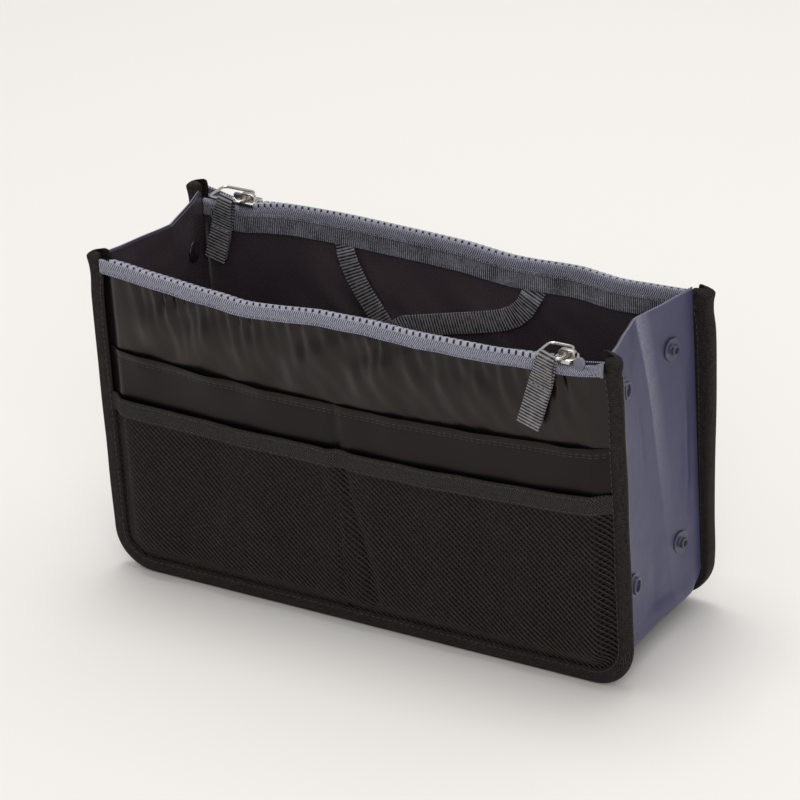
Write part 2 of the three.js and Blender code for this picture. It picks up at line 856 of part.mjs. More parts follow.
// A side gusset in its own frame, seen as the right-hand one, with the panels that its +Y and
// -Y halves are sewn to
function buildGusset(side, plusPanel, minusPanel) {
  const group = new THREE.Group();
  for (const [panel, end] of [[plusPanel, 1], [minusPanel, -1]]) {
    const half = buildGussetHalf(`${side}_gusset_${panel}`, -end, ...snapHalves[panel]);
    half.position.set(seamX, end * hingeY, 0);
    half.rotation.z = -end * (Math.PI / 2 + lean);
    group.add(half);
  }
  group.add(piece(`${side}_corner`, cornerGeometry(), gussetCloth));
  return group;
}

// Where the bottom strip stops short of the side gusset, at a distance from the seam
function bottomEnd(fromSeam) {
  const notch = seamX - notchClearance - fromSeam * Math.sin(foldedLean);
  return Math.min(bottomHalf, notch);
}

// Corner of the gusset strip: soft cloth that turns from the side to the bottom
function cornerGeometry() {
  const notchStart = (bottom.endInset - notchClearance) / Math.sin(foldedLean);
  const creaseEnd = gussetHalf - gusset.creaseInset;
  const along = [gusset.hingeInset, notchStart, (notchStart + creaseEnd) / 2, gussetHalf];
  const columns = [
    ...along.map((u) => ({ u, side: 1 })),
    ...along.slice(0, -1).reverse().map((u) => ({ u, side: -1 })),
  ];
  const outer = [];
  const inner = [];
  for (let row = 0; row <= corner.arcSteps; row += 1) {
    const angle = (row / corner.arcSteps) * (Math.PI / 2);
    const fade = 1 - corner.flatFade * Math.sin(angle * 2);
    const points = columns.map(({ u, side }) => {
      const radius = seamRadius - u * Math.sin(lean) * fade;
      const y = side * (hingeY - u * Math.cos(lean));
      const at = (r) => new THREE.Vector3(
        arcCentreX + Math.cos(angle) * r,
        y,
        arcCentreZ - Math.sin(angle) * r,
      );
      return [at(radius), at(radius - corner.thickness)];
    });
    outer.push(points.map((pair) => pair[0]));
    inner.push(points.map((pair) => pair[1]));
  }
  const last = columns.map(({ u, side }) => {
    const x = bottomEnd(Math.min(u, creaseEnd)) + running;
    const y = side * (hingeY - u * Math.cos(lean));
    const z = seamZ + u * Math.sin(lean);
    return [new THREE.Vector3(x, y, z), new THREE.Vector3(x, y, z + corner.thickness)];
  });
  outer.push(last.map((pair) => pair[0]));
  inner.push(last.map((pair) => pair[1]));
  return clothSheet(outer, inner);
}

// One half of the bottom. Local Y runs from the seam to the crease, and inward is the sign of
// the local Z that points into the organizer.
function buildBottomHalf(name, inward) {
  const group = new THREE.Group();
  const near = gusset.hingeInset;
  const far = gussetHalf - gusset.creaseInset;
  const notchStart = (bottom.endInset - notchClearance) / Math.sin(foldedLean);
  const sheet = (low, high) => {
    const shape = new THREE.Shape([
      [-bottomHalf, near],
      [bottomHalf, near],
      [bottomHalf, notchStart],
      [bottomEnd(far), far],
      [-bottomEnd(far), far],
      [-bottomHalf, notchStart],
    ].map(([x, y]) => new THREE.Vector2(x, y)));
    const geometry = extrude(shape, high - low);
    geometry.translate(0, 0, inward > 0 ? low : -high);
    return geometry;
  };
  group.add(piece(name, sheet(gusset.skin, gusset.skin + gusset.cloth), gussetCloth));
  group.add(piece(`${name}_lining`, sheet(liningNear, liningFar), liningCloth));
  return group;
}

// The whole organizer
const organizer = new THREE.Group();
organizer.name = 'purse_organizer_insert';

const backPanel = buildPanel('back', {
  sliderX: slider.backFromSeam - seamX,
  ringDirection: -1,
  pullSide: -1,
  sway: tab.backSway,
  lean: tab.backLean,
});
backPanel.add(
  piece('back_lower_pocket', slipPocketGeometry(height * topShares.lower), pocketCloth),
);

const frontPanel = buildPanel('front', {
  sliderX: slider.frontFromSeam - seamX,
  ringDirection: 1,
  pullSide: 1,
  sway: -tab.frontSway,
  lean: 0,
});
frontPanel.add(
  piece('front_slip_pocket', slipPocketGeometry(height * topShares.slip), pocketCloth),
  piece('front_mesh_pocket', meshPocketGeometry(), netCloth),
  piece('front_mesh_hem', meshHemGeometry(), bindingTape),
);
frontPanel.rotation.z = Math.PI;

const rightGusset = buildGusset('right', 'rear', 'front');
const leftGusset = buildGusset('left', 'front', 'rear');
leftGusset.rotation.z = Math.PI;

const bottomRear = buildBottomHalf('bottom_rear', -1);
bottomRear.position.set(0, hingeY, seamZ);
bottomRear.rotation.x = Math.PI - lean;
const bottomFront = buildBottomHalf('bottom_front', 1);
bottomFront.position.set(0, -hingeY, seamZ);
bottomFront.rotation.x = lean;

organizer.add(backPanel, frontPanel, rightGusset, leftGusset, bottomRear, bottomFront);

export default organizer;
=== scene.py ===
# %% [markdown]
# A purse organizer insert in Blender
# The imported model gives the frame: every piece of it has its place and its body. This lesson
# dresses that frame in cloth, tape, webbing, a moulded zip and small metal parts. Lengths in
# the cells are millimetres, and are turned into metres when a mesh is made.

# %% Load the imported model
import math

import bpy
import numpy as np
from mathutils import Matrix, Vector


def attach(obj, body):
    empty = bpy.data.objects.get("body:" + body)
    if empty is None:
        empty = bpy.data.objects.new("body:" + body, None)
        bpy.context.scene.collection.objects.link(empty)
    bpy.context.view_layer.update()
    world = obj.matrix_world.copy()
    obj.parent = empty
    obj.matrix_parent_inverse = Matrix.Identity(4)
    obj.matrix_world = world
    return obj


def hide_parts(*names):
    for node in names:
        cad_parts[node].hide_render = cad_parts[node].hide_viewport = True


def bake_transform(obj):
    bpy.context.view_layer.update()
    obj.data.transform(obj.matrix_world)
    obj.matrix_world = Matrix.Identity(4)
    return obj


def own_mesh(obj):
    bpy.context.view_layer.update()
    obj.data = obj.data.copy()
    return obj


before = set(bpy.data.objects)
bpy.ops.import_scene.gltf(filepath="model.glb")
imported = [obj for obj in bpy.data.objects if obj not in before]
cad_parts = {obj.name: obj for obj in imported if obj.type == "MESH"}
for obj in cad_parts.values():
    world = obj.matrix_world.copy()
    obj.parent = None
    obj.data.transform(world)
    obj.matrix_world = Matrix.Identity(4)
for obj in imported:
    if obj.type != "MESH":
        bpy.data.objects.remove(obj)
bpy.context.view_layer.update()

MM = 0.001

# %% [markdown]
# The camera comes first, because it settles how much detail each piece needs. The photograph
# was taken with a long lens from the right front, looking down by about 26 degrees, and held
# slightly turned. Its place was fitted to twelve points of the panels.

# %% Camera
CAMERA_PLACE = (0.927, -1.4217, 0.9431)
CAMERA_TURN = (math.radians(90 - 26.42), math.radians(33.16), math.radians(-3.85))
LENS = 180.06

bpy.ops.object.camera_add(location=CAMERA_PLACE)
camera = bpy.context.object
camera.name = "photo_camera"
camera.data.lens = LENS
camera.data.sensor_width = 36
camera.data.clip_end = 20
tilt, azimuth, roll = CAMERA_TURN
camera.matrix_world = (
    Matrix.Translation(CAMERA_PLACE)
    @ Matrix.Rotation(azimuth, 4, "Z")
    @ Matrix.Rotation(tilt, 4, "X")
    @ Matrix.Rotation(roll, 4, "Z")
)
bpy.context.scene.camera = camera
bpy.context.scene.view_settings.view_transform = "Standard"

# %% [markdown]
# Cloth, tape and webbing all start as a grid primitive. A grid already has a map of its two
# directions, so a function can lay each of its points where the cloth lies, and the weave can
# follow the map. These helpers lay a grid, close it into a band, and give it its thickness.

# %% Helpers for cloth
MERGE = 0.000002


def metres(*values):
    return tuple(value * MM for value in values)


def as_points(x, y, z):
    """Places as one array, from rows or single numbers for the three coordinates."""
    return np.stack(np.broadcast_arrays(x, y, z), axis=1)


def points_of(mesh):
    """The places of a mesh's points, in metres."""
    places = np.empty(len(mesh.vertices) * 3)
    mesh.vertices.foreach_get("co", places)
    return places.reshape(-1, 3)


def unit(directions):
    """The same directions with a length of 1."""
    return directions / np.maximum(np.linalg.norm(directions, axis=-1, keepdims=True), 1e-6)


def reach(line):
    """How far along a line each of its points lies."""
    return np.concatenate([[0], np.cumsum(np.linalg.norm(np.diff(line, axis=0), axis=1))])


def new_object(name, data):
    piece = bpy.data.objects.new(name, data)
    bpy.context.scene.collection.objects.link(piece)
    return piece


def only(piece):
    """Selects this piece alone and makes it the active one."""
    bpy.ops.object.select_all(action="DESELECT")
    piece.select_set(True)
    bpy.context.view_layer.objects.active = piece


def lay_cloth(name, columns, rows, place, flat):
    """A grid laid by place(along, across). Its map is flat: two lengths, or a function."""
    bpy.ops.mesh.primitive_grid_add(x_subdivisions=columns, y_subdivisions=rows, size=2)
    piece = bpy.context.object
    mesh = piece.data
    piece.name = mesh.name = name
    along, across, _ = (points_of(mesh) / 2 + 0.5).T
    laid = as_points(*place(along, across)) * MM
    mesh.vertices.foreach_set("co", laid.ravel())
    chart = mesh.uv_layers[0].data
    spots = np.empty(len(chart) * 2)
    chart.foreach_get("uv", spots)
    spots = spots.reshape(-1, 2)
    spots = np.stack(flat(*spots.T), axis=1) if callable(flat) else spots * np.array(flat)
    chart.foreach_set("uv", (spots * MM).ravel())
    mesh.update()
    return piece


def mend(piece, step=None):
    """Merges doubled points, takes one more step if given, and turns every face outwards."""
    only(piece)
    bpy.ops.object.mode_set(mode="EDIT")
    bpy.ops.mesh.select_all(action="SELECT")
    bpy.ops.mesh.remove_doubles(threshold=MERGE)
    if step:
        step()
        bpy.ops.mesh.select_all(action="SELECT")
    bpy.ops.mesh.normals_make_consistent(inside=False)
    bpy.ops.object.mode_set(mode="OBJECT")


def modify(piece, kind, **settings):
    """Gives a piece one modifier and applies it."""
    modifier = piece.modifiers.new(kind.lower(), kind)
    for name, value in settings.items():
        setattr(modifier, name, value)
    only(piece)
    bpy.ops.object.modifier_apply(modifier=modifier.name)


def thicken(piece, thickness, offset=0):
    """Gives a sheet its thickness, to both sides or to the side of its normals."""
    modify(piece, "SOLIDIFY", thickness=thickness * MM, offset=offset)


def soften(piece):
    """Rounds a piece with a subdivision surface."""
    modify(piece, "SUBSURF", levels=1, render_levels=1)


def bevel(piece, width, segments, degrees):
    """Rounds the edges that are sharper than this angle."""
    modify(piece, "BEVEL", width=width * MM, segments=segments, limit_method="ANGLE",
           angle_limit=math.radians(degrees))


def block(size, middle=(0, 0, 0)):
    bpy.ops.mesh.primitive_cube_add(size=1, location=metres(*middle))
    bpy.ops.transform.resize(value=metres(*size))
    bpy.ops.object.transform_apply(location=True, rotation=True, scale=True)
    return bpy.context.object


def cap_ends():
    """Closes the open ends of the piece that is being edited."""
    bpy.ops.mesh.select_all(action="DESELECT")
    bpy.ops.mesh.select_mode(type="EDGE")
    bpy.ops.mesh.select_non_manifold(extend=False, use_wire=False, use_multi_face=False,
                                     use_non_contiguous=False, use_verts=False)
    bpy.ops.mesh.edge_face_add()


def sweep(name, path, across, outwards, outline, loop=False):
    """An outline of (across, outwards) pairs carried along a path: a loop, or with ends."""
    path, outline = np.asarray(path, float), np.asarray(outline, float)
    across, outwards = (np.broadcast_to(a, path.shape) for a in (across, outwards))
    stations, corners = len(path), len(outline)
    spans = stations if loop else stations - 1
    run = reach(np.vstack([path, path[:1]]) if loop else path)
    girth = reach(np.vstack([outline, outline[:1]]))

    def chart(along, around):
        return (np.interp(along * spans, np.arange(len(run)), run),
                np.interp(around * corners, np.arange(len(girth)), girth))

    def place(along, around):
        i = np.rint(along * spans).astype(int) % stations
        j = np.rint(around * corners).astype(int) % corners
        return (path[i] + across[i] * outline[j, :1] + outwards[i] * outline[j, 1:]).T

    piece = lay_cloth(name, spans, corners, place, chart)
    mend(piece, None if loop else cap_ends)
    return piece


def through(knots, at):
    """A smooth line through knots of (place, value), read at every place in at."""
    places, values = np.array(knots, float).T
    slopes = np.gradient(values, places)
    at = np.clip(at, places[0], places[-1])
    i = np.clip(np.searchsorted(places, at) - 1, 0, len(places) - 2)
    step = places[i + 1] - places[i]
    t = (at - places[i]) / step
    return (
        values[i] * (1 + 2 * t) * (1 - t) ** 2
        + slopes[i] * step * t * (1 - t) ** 2
        + values[i + 1] * t ** 2 * (3 - 2 * t)
        + slopes[i + 1] * step * t ** 2 * (t - 1)
    )


def ease(value):
    """0 below 0, 1 above 1, and smooth between."""
    t = np.clip(value, 0, 1)
    return t * t * (3 - 2 * t)


def folds(a, b, length, seed, turn=0.0, spread=math.pi, waves=9):
    """Made-up folds of about one length: waves in every direction, or round one direction."""
    dice = np.random.default_rng(seed)
    total = np.zeros_like(a + b)
    for _ in range(waves):
        angle = turn + dice.uniform(-spread, spread)
        size = length * dice.uniform(0.7, 1.6)
        phase = dice.uniform(0, 2 * math.pi)
        along = a * math.cos(angle) + b * math.sin(angle)
        total = total + np.sin(along * 2 * math.pi / size + phase)
    return total / math.sqrt(waves)


def repeat(name, model, frames):
    """Copies of a modelled piece at each frame (place in mm, 3 by 3 turn), as one mesh."""
    points = points_of(model.data)
    faces = [tuple(face.vertices) for face in model.data.polygons]
    all_points, all_faces = [], []
    for count, (place, turn) in enumerate(frames):
        all_points.append(points @ np.asarray(turn, float).T + np.asarray(place, float) * MM)
        start = count * len(points)
        all_faces.extend(tuple(start + v for v in face) for face in faces)
    joined = bpy.data.meshes.new(name)
    joined.from_pydata(np.vstack(all_points).tolist(), [], all_faces)
    joined.update()
    return new_object(name, joined)


def draw_in(piece):
    """Narrows the back panel's bound edge towards its lower right corner, as photographed."""
    points = points_of(piece.data) / MM
    x, z = points[:, 0], points[:, 2]
    inwards = unit(np.stack([np.minimum(ARC_X - x, 0), np.maximum(CORNER - z, 0)], axis=1))
    share = 0.42 * ease((140 - z) / 100) * ease((x - 20) / 100)
    share = share + 0.2 * ease((34 - z) / 24) * ease((x - 60) / 60)
    move = np.maximum(SEAM_Z - from_edge(x, z), 0) * share
    points[:, [0, 2]] += inwards * move[:, None]
    piece.data.vertices.foreach_set("co", (points * MM).ravel())


def dress(piece, material, slot, body=None, stands_for=(), angle=40):
    """Shades a piece, paints it, and says which body carries it and which nodes it shows."""
    piece.data.materials.clear()
    piece.data.materials.append(material)
    only(piece)
    bpy.ops.object.shade_smooth_by_angle(angle=math.radians(angle))
    if body:
        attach(piece, body)
    if stands_for:
        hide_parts(*stands_for)
    print(piece.name, len(piece.data.polygons), "faces")
    return piece


def on_panel(piece, panel, material, slot, node=None, angle=40, part="panel"):
    """Dresses a piece made for the back panel. The front panel's is turned half round."""
    stands_for = [f"{panel}_{node}"] if node else ()
    if panel == "front":
        piece.data.transform(Matrix.Rotation(math.pi, 4, "Z"))
    elif part == "panel":
        draw_in(piece)
    piece.data.update()
    return dress(piece, material, slot, f"{panel}_{part}", stands_for, angle)


# %% [markdown]
# Materials. Black nylon shows its shape only by its gloss, so the satin is dark, fairly
# smooth, and roughened a little by its weave. Tapes and webbing are matt, and their ribs are
# bumped and painted: pale on top as a painted highlight, and dark between as painted shade.
# Ribs read the piece's own map, in metres, so they have their real size and follow the cloth
# round each bend. Cloudy noise reads Object coordinates.

# %% Helpers for materials
PLAIN = (1, 1, 1, 1)
WARM = (1.0, 0.9, 0.87, 1)


def tint(*levels):
    """A colour as seen on a screen, 0 to 255, as Blender's linear colour."""
    shares = [level / 255 for level in levels]
    return (*[s / 12.92 if s <= 0.04045 else ((s + 0.055) / 1.055) ** 2.4 for s in shares], 1)


def new_material(name, roughness, **sockets):
    material = bpy.data.materials.new(name)
    material.use_nodes = True
    tree = material.node_tree
    shader = tree.nodes["Principled BSDF"]
    shader.inputs["Roughness"].default_value = roughness
    for socket, value in sockets.items():
        shader.inputs[socket.replace("_", " ")].default_value = value
    return material, tree, shader


def add_node(tree, kind, *values, **settings):
    """A node with these settings, and with a link or a value for each input that has one."""
    made = tree.nodes.new("ShaderNode" + kind)
    for name, value in settings.items():
        setattr(made, name, value)
    for place, value in enumerate(values):
        if isinstance(value, bpy.types.NodeSocket):
            tree.links.new(value, made.inputs[place])
        elif value is not None:
            made.inputs[place].default_value = value
    return made


def maths(tree, operation, *values):
    return add_node(tree, "Math", *values, operation=operation).outputs[0]


def chart_axes(tree):
    """The piece's own map: metres along it and metres across it."""
    return add_node(tree, "SeparateXYZ", add_node(tree, "UVMap").outputs[0]).outputs[:2]


def noise(tree, size, detail=2.0):
    """Cloudy noise with features of about this size in metres, on Object coordinates."""
    place = add_node(tree, "TexCoord").outputs["Object"]
    return add_node(tree, "TexNoise", place, None, 1 / size, detail).outputs[0]


def paint(tree, shader, share, first, second):
    """Colours a material by two colours and the second one's share."""
    mix = add_node(tree, "Mix", share, *[None] * 5, first, second, data_type="RGBA")
    tree.links.new(mix.outputs[2], shader.inputs["Base Color"])


def roughen(tree, shader, uneven, amount, least):
    rough = maths(tree, "MULTIPLY_ADD", uneven, amount, least)
    tree.links.new(rough, shader.inputs["Roughness"])


def relief(tree, shader, height, depth):
    """Bump of this depth in metres from a height between 0 and 1."""
    bump = add_node(tree, "Bump")
    bump.inputs["Distance"].default_value = depth
    tree.links.new(height, bump.inputs["Height"])
    tree.links.new(bump.outputs[0], shader.inputs["Normal"])


def wave(tree, phase):
    """A sine of a phase given in turns, moved to 0 to 1."""
    turned = maths(tree, "MULTIPLY", phase, 2 * math.pi)
    return maths(tree, "MULTIPLY_ADD", maths(tree, "SINE", turned), 0.5, 0.5)


def herringbone(tree, pitch, stripe):
    """Slanting ribs that change direction from stripe to stripe."""
    along, across = chart_axes(tree)
    slant = maths(tree, "PINGPONG", across, stripe)
    return wave(tree, maths(tree, "DIVIDE", maths(tree, "ADD", along, slant), pitch))


def cross_ribs(tree, pitch):
    """Straight ribs across the length."""
    return wave(tree, maths(tree, "DIVIDE", chart_axes(tree)[0], pitch))


def woven(name, roughness, dark, pale, pattern, depth, cloud=0.35, cloud_size=0.012,
          gloss=PLAIN):
    """A woven material: hollows and ridges by pattern(tree), with cloudy variation. The colour
    follows the height: painted shade in the hollows, a painted highlight on the ridges.
    """
    material, tree, shader = new_material(name, roughness, Specular_IOR_Level=0.25,
                                          Specular_Tint=gloss)
    height = pattern(tree)
    # Colour by the pattern's height: painted shade in the hollows, painted highlight on the
    # ridges; the cloudy noise is the yarn's own uneven tone.
    share = maths(tree, "MULTIPLY_ADD", noise(tree, cloud_size), cloud, height)
    paint(tree, shader, maths(tree, "SUBTRACT", share, cloud / 2), dark, pale)
    relief(tree, shader, height, depth)
    return material


def spun(name, dark, pale, roughness=0.7, size=0.001, gloss=PLAIN):
    """Thread or cord, too fine for a pattern: only its unevenness shows."""
    return woven(name, roughness, dark, pale, lambda tree: noise(tree, size), 0.0001,
                 gloss=gloss)


def smooth_nylon(name, colour, sheen_colour, roughness, crinkle=0.00006, shine=0.3,
                 gloss=WARM):
    """Smooth nylon: a tight weave, and gloss that varies with the way the cloth lies."""
    material, tree, shader = new_material(name, roughness, Specular_IOR_Level=shine,
                                          Specular_Tint=gloss)
    fine = noise(tree, 0.0007, 3.0)
    paint(tree, shader, noise(tree, 0.03), colour, sheen_colour)
    roughen(tree, shader, fine, 0.16, roughness - 0.08)
    relief(tree, shader, fine, crinkle)
    return material


def paint_gusset_highlights(material, pale):
    """Paints highlights on a gusset's cloth: a speckled slanting streak along its crease, and
    a line on its top.
    """
    tree = material.node_tree
    shader = tree.nodes["Principled BSDF"]

    def do(operation, *values):
        return maths(tree, operation, *values)

    place = add_node(tree, "TexCoord").outputs["Object"]
    _, y, z = add_node(tree, "SeparateXYZ", place).outputs
    # A slanting band beside the crease, speckled and paler higher up: a painted highlight of
    # the creased ridge.
    slanted = do("MULTIPLY", do("SUBTRACT", z, 0.165), 0.11)
    aside = do("ADD", do("SUBTRACT", y, 0.0005), slanted)
    behind = do("SUBTRACT", 1.0, do("DIVIDE", aside, 0.009))
    before = do("ADD", 1.0, do("DIVIDE", aside, 0.0015))
    crease = do("MAXIMUM", do("MINIMUM", behind, before), 0.0)
    high = do("MULTIPLY", do("SUBTRACT", z, 0.05), 8.0)
    streaked = do("MULTIPLY", crease, do("MINIMUM", do("MAXIMUM", high, 0.1), 1.0))
    crease_highlight = do("MULTIPLY", streaked, do("MULTIPLY", noise(tree, 0.0012, 3.0), 1.6))
    # A pale line along the top edge: a painted highlight.
    edge = do("MULTIPLY", do("GREATER_THAN", z, 0.1674), 0.45)
    unlit_colour = shader.inputs["Base Color"].links[0].from_socket
    paint(tree, shader, do("MAXIMUM", crease_highlight, edge), unlit_colour, pale)


# %% Cloth materials
satin = smooth_nylon("black_satin_nylon", tint(13, 9, 9), tint(20, 16, 15), 0.3, shine=0.34)
pocket_cloth = smooth_nylon("pocket_nylon", tint(9, 6, 7), tint(14, 10, 11), 0.33,
                            shine=0.22)
lining_cloth = smooth_nylon("lining", tint(56, 47, 52), tint(80, 70, 75), 0.28, shine=0.9,
                            gloss=(1.0, 0.96, 0.96, 1))
gusset_cloth = smooth_nylon("slate_coated_nylon", tint(62, 61, 90), tint(78, 77, 107), 0.4,
                            crinkle=0.0001, shine=0.35, gloss=PLAIN)
# Painted highlights on the gusset cloth: a pale streak by its crease and a pale line on its
# top.
paint_gusset_highlights(gusset_cloth, tint(140, 140, 158))
binding_tape = woven("binding_tape", 0.85, tint(8, 7, 7), tint(68, 64, 60),
                     lambda tree: maths(tree, "MULTIPLY", noise(tree, 0.0011, 1.0),
                                        herringbone(tree, 0.0013, 0.0022)), 0.0003,
                     cloud=0.7, cloud_size=0.0012, gloss=WARM)
hem_tape = woven("hem_tape", 0.85, tint(11, 10, 10), tint(62, 59, 57),
                 lambda tree: herringbone(tree, 0.0012, 0.0015), 0.0002, cloud=0.8,
                 cloud_size=0.0014, gloss=WARM)
zip_tape = woven("zip_tape", 0.8, tint(66, 66, 80), tint(178, 178, 195),
                 lambda tree: herringbone(tree, 0.0011, 0.0015), 0.0002, cloud=0.8,
                 cloud_size=0.0012)
band_tape = woven("stitched_band", 0.85, tint(22, 22, 27), tint(205, 203, 218),
                  lambda tree: maths(tree, "MULTIPLY", cross_ribs(tree, 0.0011),
                                     noise(tree, 0.0009, 1.0)), 0.0003, cloud=0.5)
webbing = woven("ribbed_webbing", 0.8, tint(8, 7, 8), tint(146, 143, 146),
                lambda tree: cross_ribs(tree, 0.0016), 0.0002, cloud=0.9, cloud_size=0.0025)
# A dark cord under the teeth: painted shade for the gaps between them.
gap_shade_cloth = spun("painted_shade_cord", tint(20, 20, 26), tint(44, 44, 56), roughness=0.85)
net_thread = spun("net_thread", tint(20, 16, 14), tint(66, 60, 55), size=0.002, gloss=WARM)
tape_thread = spun("tape_thread", tint(84, 84, 98), tint(122, 122, 136))
thread = spun("sewing_thread", tint(40, 38, 37), tint(80, 76, 74))
pale_thread = spun("pale_thread", tint(110, 110, 118), tint(165, 165, 172))
print("cloth materials made")


# %% Hard materials
def moulded(name, colour, pale, roughness):
    """Moulded plastic: one colour, with fine unevenness in its colour and gloss."""
    material, tree, shader = new_material(name, roughness, Specular_IOR_Level=0.5)
    paint(tree, shader, noise(tree, 0.004), colour, pale)
    relief(tree, shader, noise(tree, 0.0006), 0.00003)
    return material


def polished(name, colour, streaked, roughness):
    """Plated steel: bright, with faint smears that dull it."""
    material, tree, shader = new_material(name, roughness, Metallic=1.0)
    smears = noise(tree, 0.003, 4.0)
    paint(tree, shader, smears, colour, streaked)
    roughen(tree, shader, smears, 0.25, roughness - 0.1)
    relief(tree, shader, smears, 0.00002)
    return material


tooth_plastic = moulded("tooth_plastic", tint(150, 151, 165), tint(172, 173, 187), 0.36)
snap_plastic = moulded("slate_plastic", tint(46, 46, 63), tint(84, 84, 106), 0.34)
cap_plastic = moulded("black_plastic", tint(22, 19, 22), tint(32, 28, 32), 0.4)
stop_plastic = moulded("stop_plastic", tint(92, 93, 108), tint(112, 113, 128), 0.45)
steel = polished("nickel_steel", tint(222, 219, 212), tint(168, 165, 158), 0.24)
print("hard materials made")

# %% [markdown]
# Everything on a panel shares a few lengths. They repeat the frame's own, so that each piece
# lies where its solid lies. A panel is made as the back one, facing +Y, and the front one's
# pieces are turned half round at the end.

# %% Shared lengths and shapes of a panel
HALF_WIDTH = 145.0
SEAM_X = 136.0
EDGE_TOP = 168.0
SEAM_Z = 9.0
CORNER = 22.0
ARC_X = HALF_WIDTH - CORNER
CHAIN_Z = 163.5
CHAIN_Y = 43.66
HINGE_Y = 37.56
INNER_WALL_Y = 40.6
WALL_BACK_Y = 42.5
PAD_FACE_Y = 46.76
CHANNEL_Y = 43.5
LEG_IN = 8.7
LEAN = math.radians(12)
PANELS = {"back": {"slider": -111.0, "seed": 40}, "front": {"slider": -117.0, "seed": 7}}
TAPES = {"outer": 1, "inner": -1}

# Rise of the zip line over the frame's, how far it bows outwards, and how far the chain is
# rolled over (degrees), along the panel's X. The front panel's knots read right to left,
# because its pieces are turned half round.
ZIP_RISE = {
    "back": [(-136, 0.8), (-122, 0.1), (-111, 0), (-101, 1.6), (-91, 2.8), (-68, 3.7),
             (-30, 3.4), (0, 2.7), (14, 2.0), (27, 0.5), (36, -0.4), (50, -0.6), (64, 0.0),
             (75, 0.1), (85, -1.0), (94, -1.8), (112, -1.4), (136, -0.5)],
    "front": [(-136, 2.8), (-125, 1.0), (-117, 0), (-104, -0.3), (-91, -0.8), (-82, -1.5),
              (-68, -1.8), (-52, -1.9), (-37, -2.2), (-22, -1.8), (-11, -1.4), (4, -1.5),
              (15, -1.4), (24, -2.1), (40, -3.5), (57, -4.1), (68, -3.0), (80, -2.4),
              (96, -1.2), (112, 0.1), (126, 1.7), (136, 2.4)],
}
ZIP_BOW = {
    "back": [(-136, 0), (-111, 0), (-60, 0.5), (0, -0.3), (60, 0.5), (109, 0.1), (136, 0)],
    "front": [(-136, 0), (-110, 0), (-90, 0.2), (-50, 0.4), (-10, -0.3), (20, 0.4),
              (60, 1.3), (108, 0), (136, 0)],
}
ZIP_TILT = {
    "back": [(-136, 0), (-120, -1), (-111, -4), (-98, -16), (-86, -24), (-74, -26),
             (-50, -26), (136, -26)],
    "front": [(-136, 2), (-126, 2), (-117, 5), (-104, 16), (-92, 24), (-80, 26), (-56, 26),
              (136, 26)],
}
# How far the tape's fold climbs over the near row's teeth.
ZIP_COVER = {
    "back": [(-136, 0), (-95, 0.3), (-70, 0.7), (-20, 0.9), (40, 1.0), (80, 1.5), (136, 1.6)],
    "front": [(-136, 0), (-90, 0), (-50, 0.2), (0, 0.6), (50, 0.9), (90, 1.1), (136, 1.1)],
}
TAPE_DROP = 5.2
SLIP_TOP = [(-136, 124), (-100, 122.2), (-60, 119.8), (7.6, 117.8), (70, 119.2), (136, 121.6)]
HEM_TOP = [(-136, 101), (-90, 98.2), (-40, 96.0), (4, 95.4), (60, 95.2), (136, 96.6)]
LOWER_TOP = [(-136, 86), (-60, 82.5), (0, 83.5), (60, 82.2), (136, 85.5)]


def from_edge(x, z):
    """How far a point of a panel is in from the outer edge of its binding."""
    side = HALF_WIDTH - np.abs(x)
    round_corner = CORNER - np.hypot(np.maximum(CORNER - side, 0), np.maximum(CORNER - z, 0))
    return np.where((side < CORNER) & (z < CORNER), round_corner, np.minimum(side, z))


def zip_line(x, panel):
    return through(ZIP_BOW[panel], x), through(ZIP_RISE[panel], x)


def zip_tilt(x, panel):
    return np.radians(through(ZIP_TILT[panel], x))


def tape_foot(x, panel):
    """Height of the outer tape's lower edge."""
    return CHAIN_Z + zip_line(x, panel)[1] - TAPE_DROP


def swell(x, z, panel):
    """How far the padded cloth stands out: a crown, puckers under the zip, slanting folds."""
    seed = PANELS[panel]["seed"]
    foot = tape_foot(x, panel)
    away = ease((from_edge(x, z) - 9) / 26)
    crown = 0.5 * away
    upper = ease((z - 112) / 18) * ease((foot + 1 - z) / 14)
    roll_out = 1.5 * np.exp(-((z - 139) / 10) ** 2)
    patchy = 0.55 + 0.45 * folds(x, 0.5 * z, 70, seed + 7)
    slant = 1.25 * folds(x + 0.9 * z, 0.6 * z, 30, seed, 0.1, 0.5) * upper * patchy
    slant = slant + 0.4 * folds(x - 0.5 * z, 0.8 * z, 15, seed + 4, 0.3, 0.6) * upper
    if panel == "back":
        slant = 0.7 * slant
    under_zip = np.exp(-np.maximum(foot - 2 - z, 0) / 9)
    pucker = 0.8 * folds(x + 0.2 * (foot - z), 0 * z, 6.8, seed + 1, 0, 0) * under_zip
    broad = 0.35 * folds(x, z, 60, seed + 2)
    if panel == "front":
        behind_tab = 1 - 0.75 * np.exp(-((x + 103) / 16) ** 2)
        roll_out = roll_out * behind_tab
        slant = slant * behind_tab
    return away * (crown + roll_out + slant + pucker + broad)


def layer_y(x, z, panel, layer):
    """Outer face of one layer of the panel: 0 is the padded wall, higher layers lie on it."""
    rise = ease((from_edge(x, z) - LEG_IN) / 8)
    soft = swell(x, z, panel) * (1.0 if layer == 0 else 0.7)
    y = CHANNEL_Y + 0.25 * layer + (PAD_FACE_Y - CHANNEL_Y + 0.2 * layer + soft) * rise
    tucked = ease((z - tape_foot(x, panel) + 3.5) / 3.5)
    under_tape = np.minimum(y, CHAIN_Y + zip_line(x, panel)[0] + 3.4)
    return y + (under_tape - y) * tucked


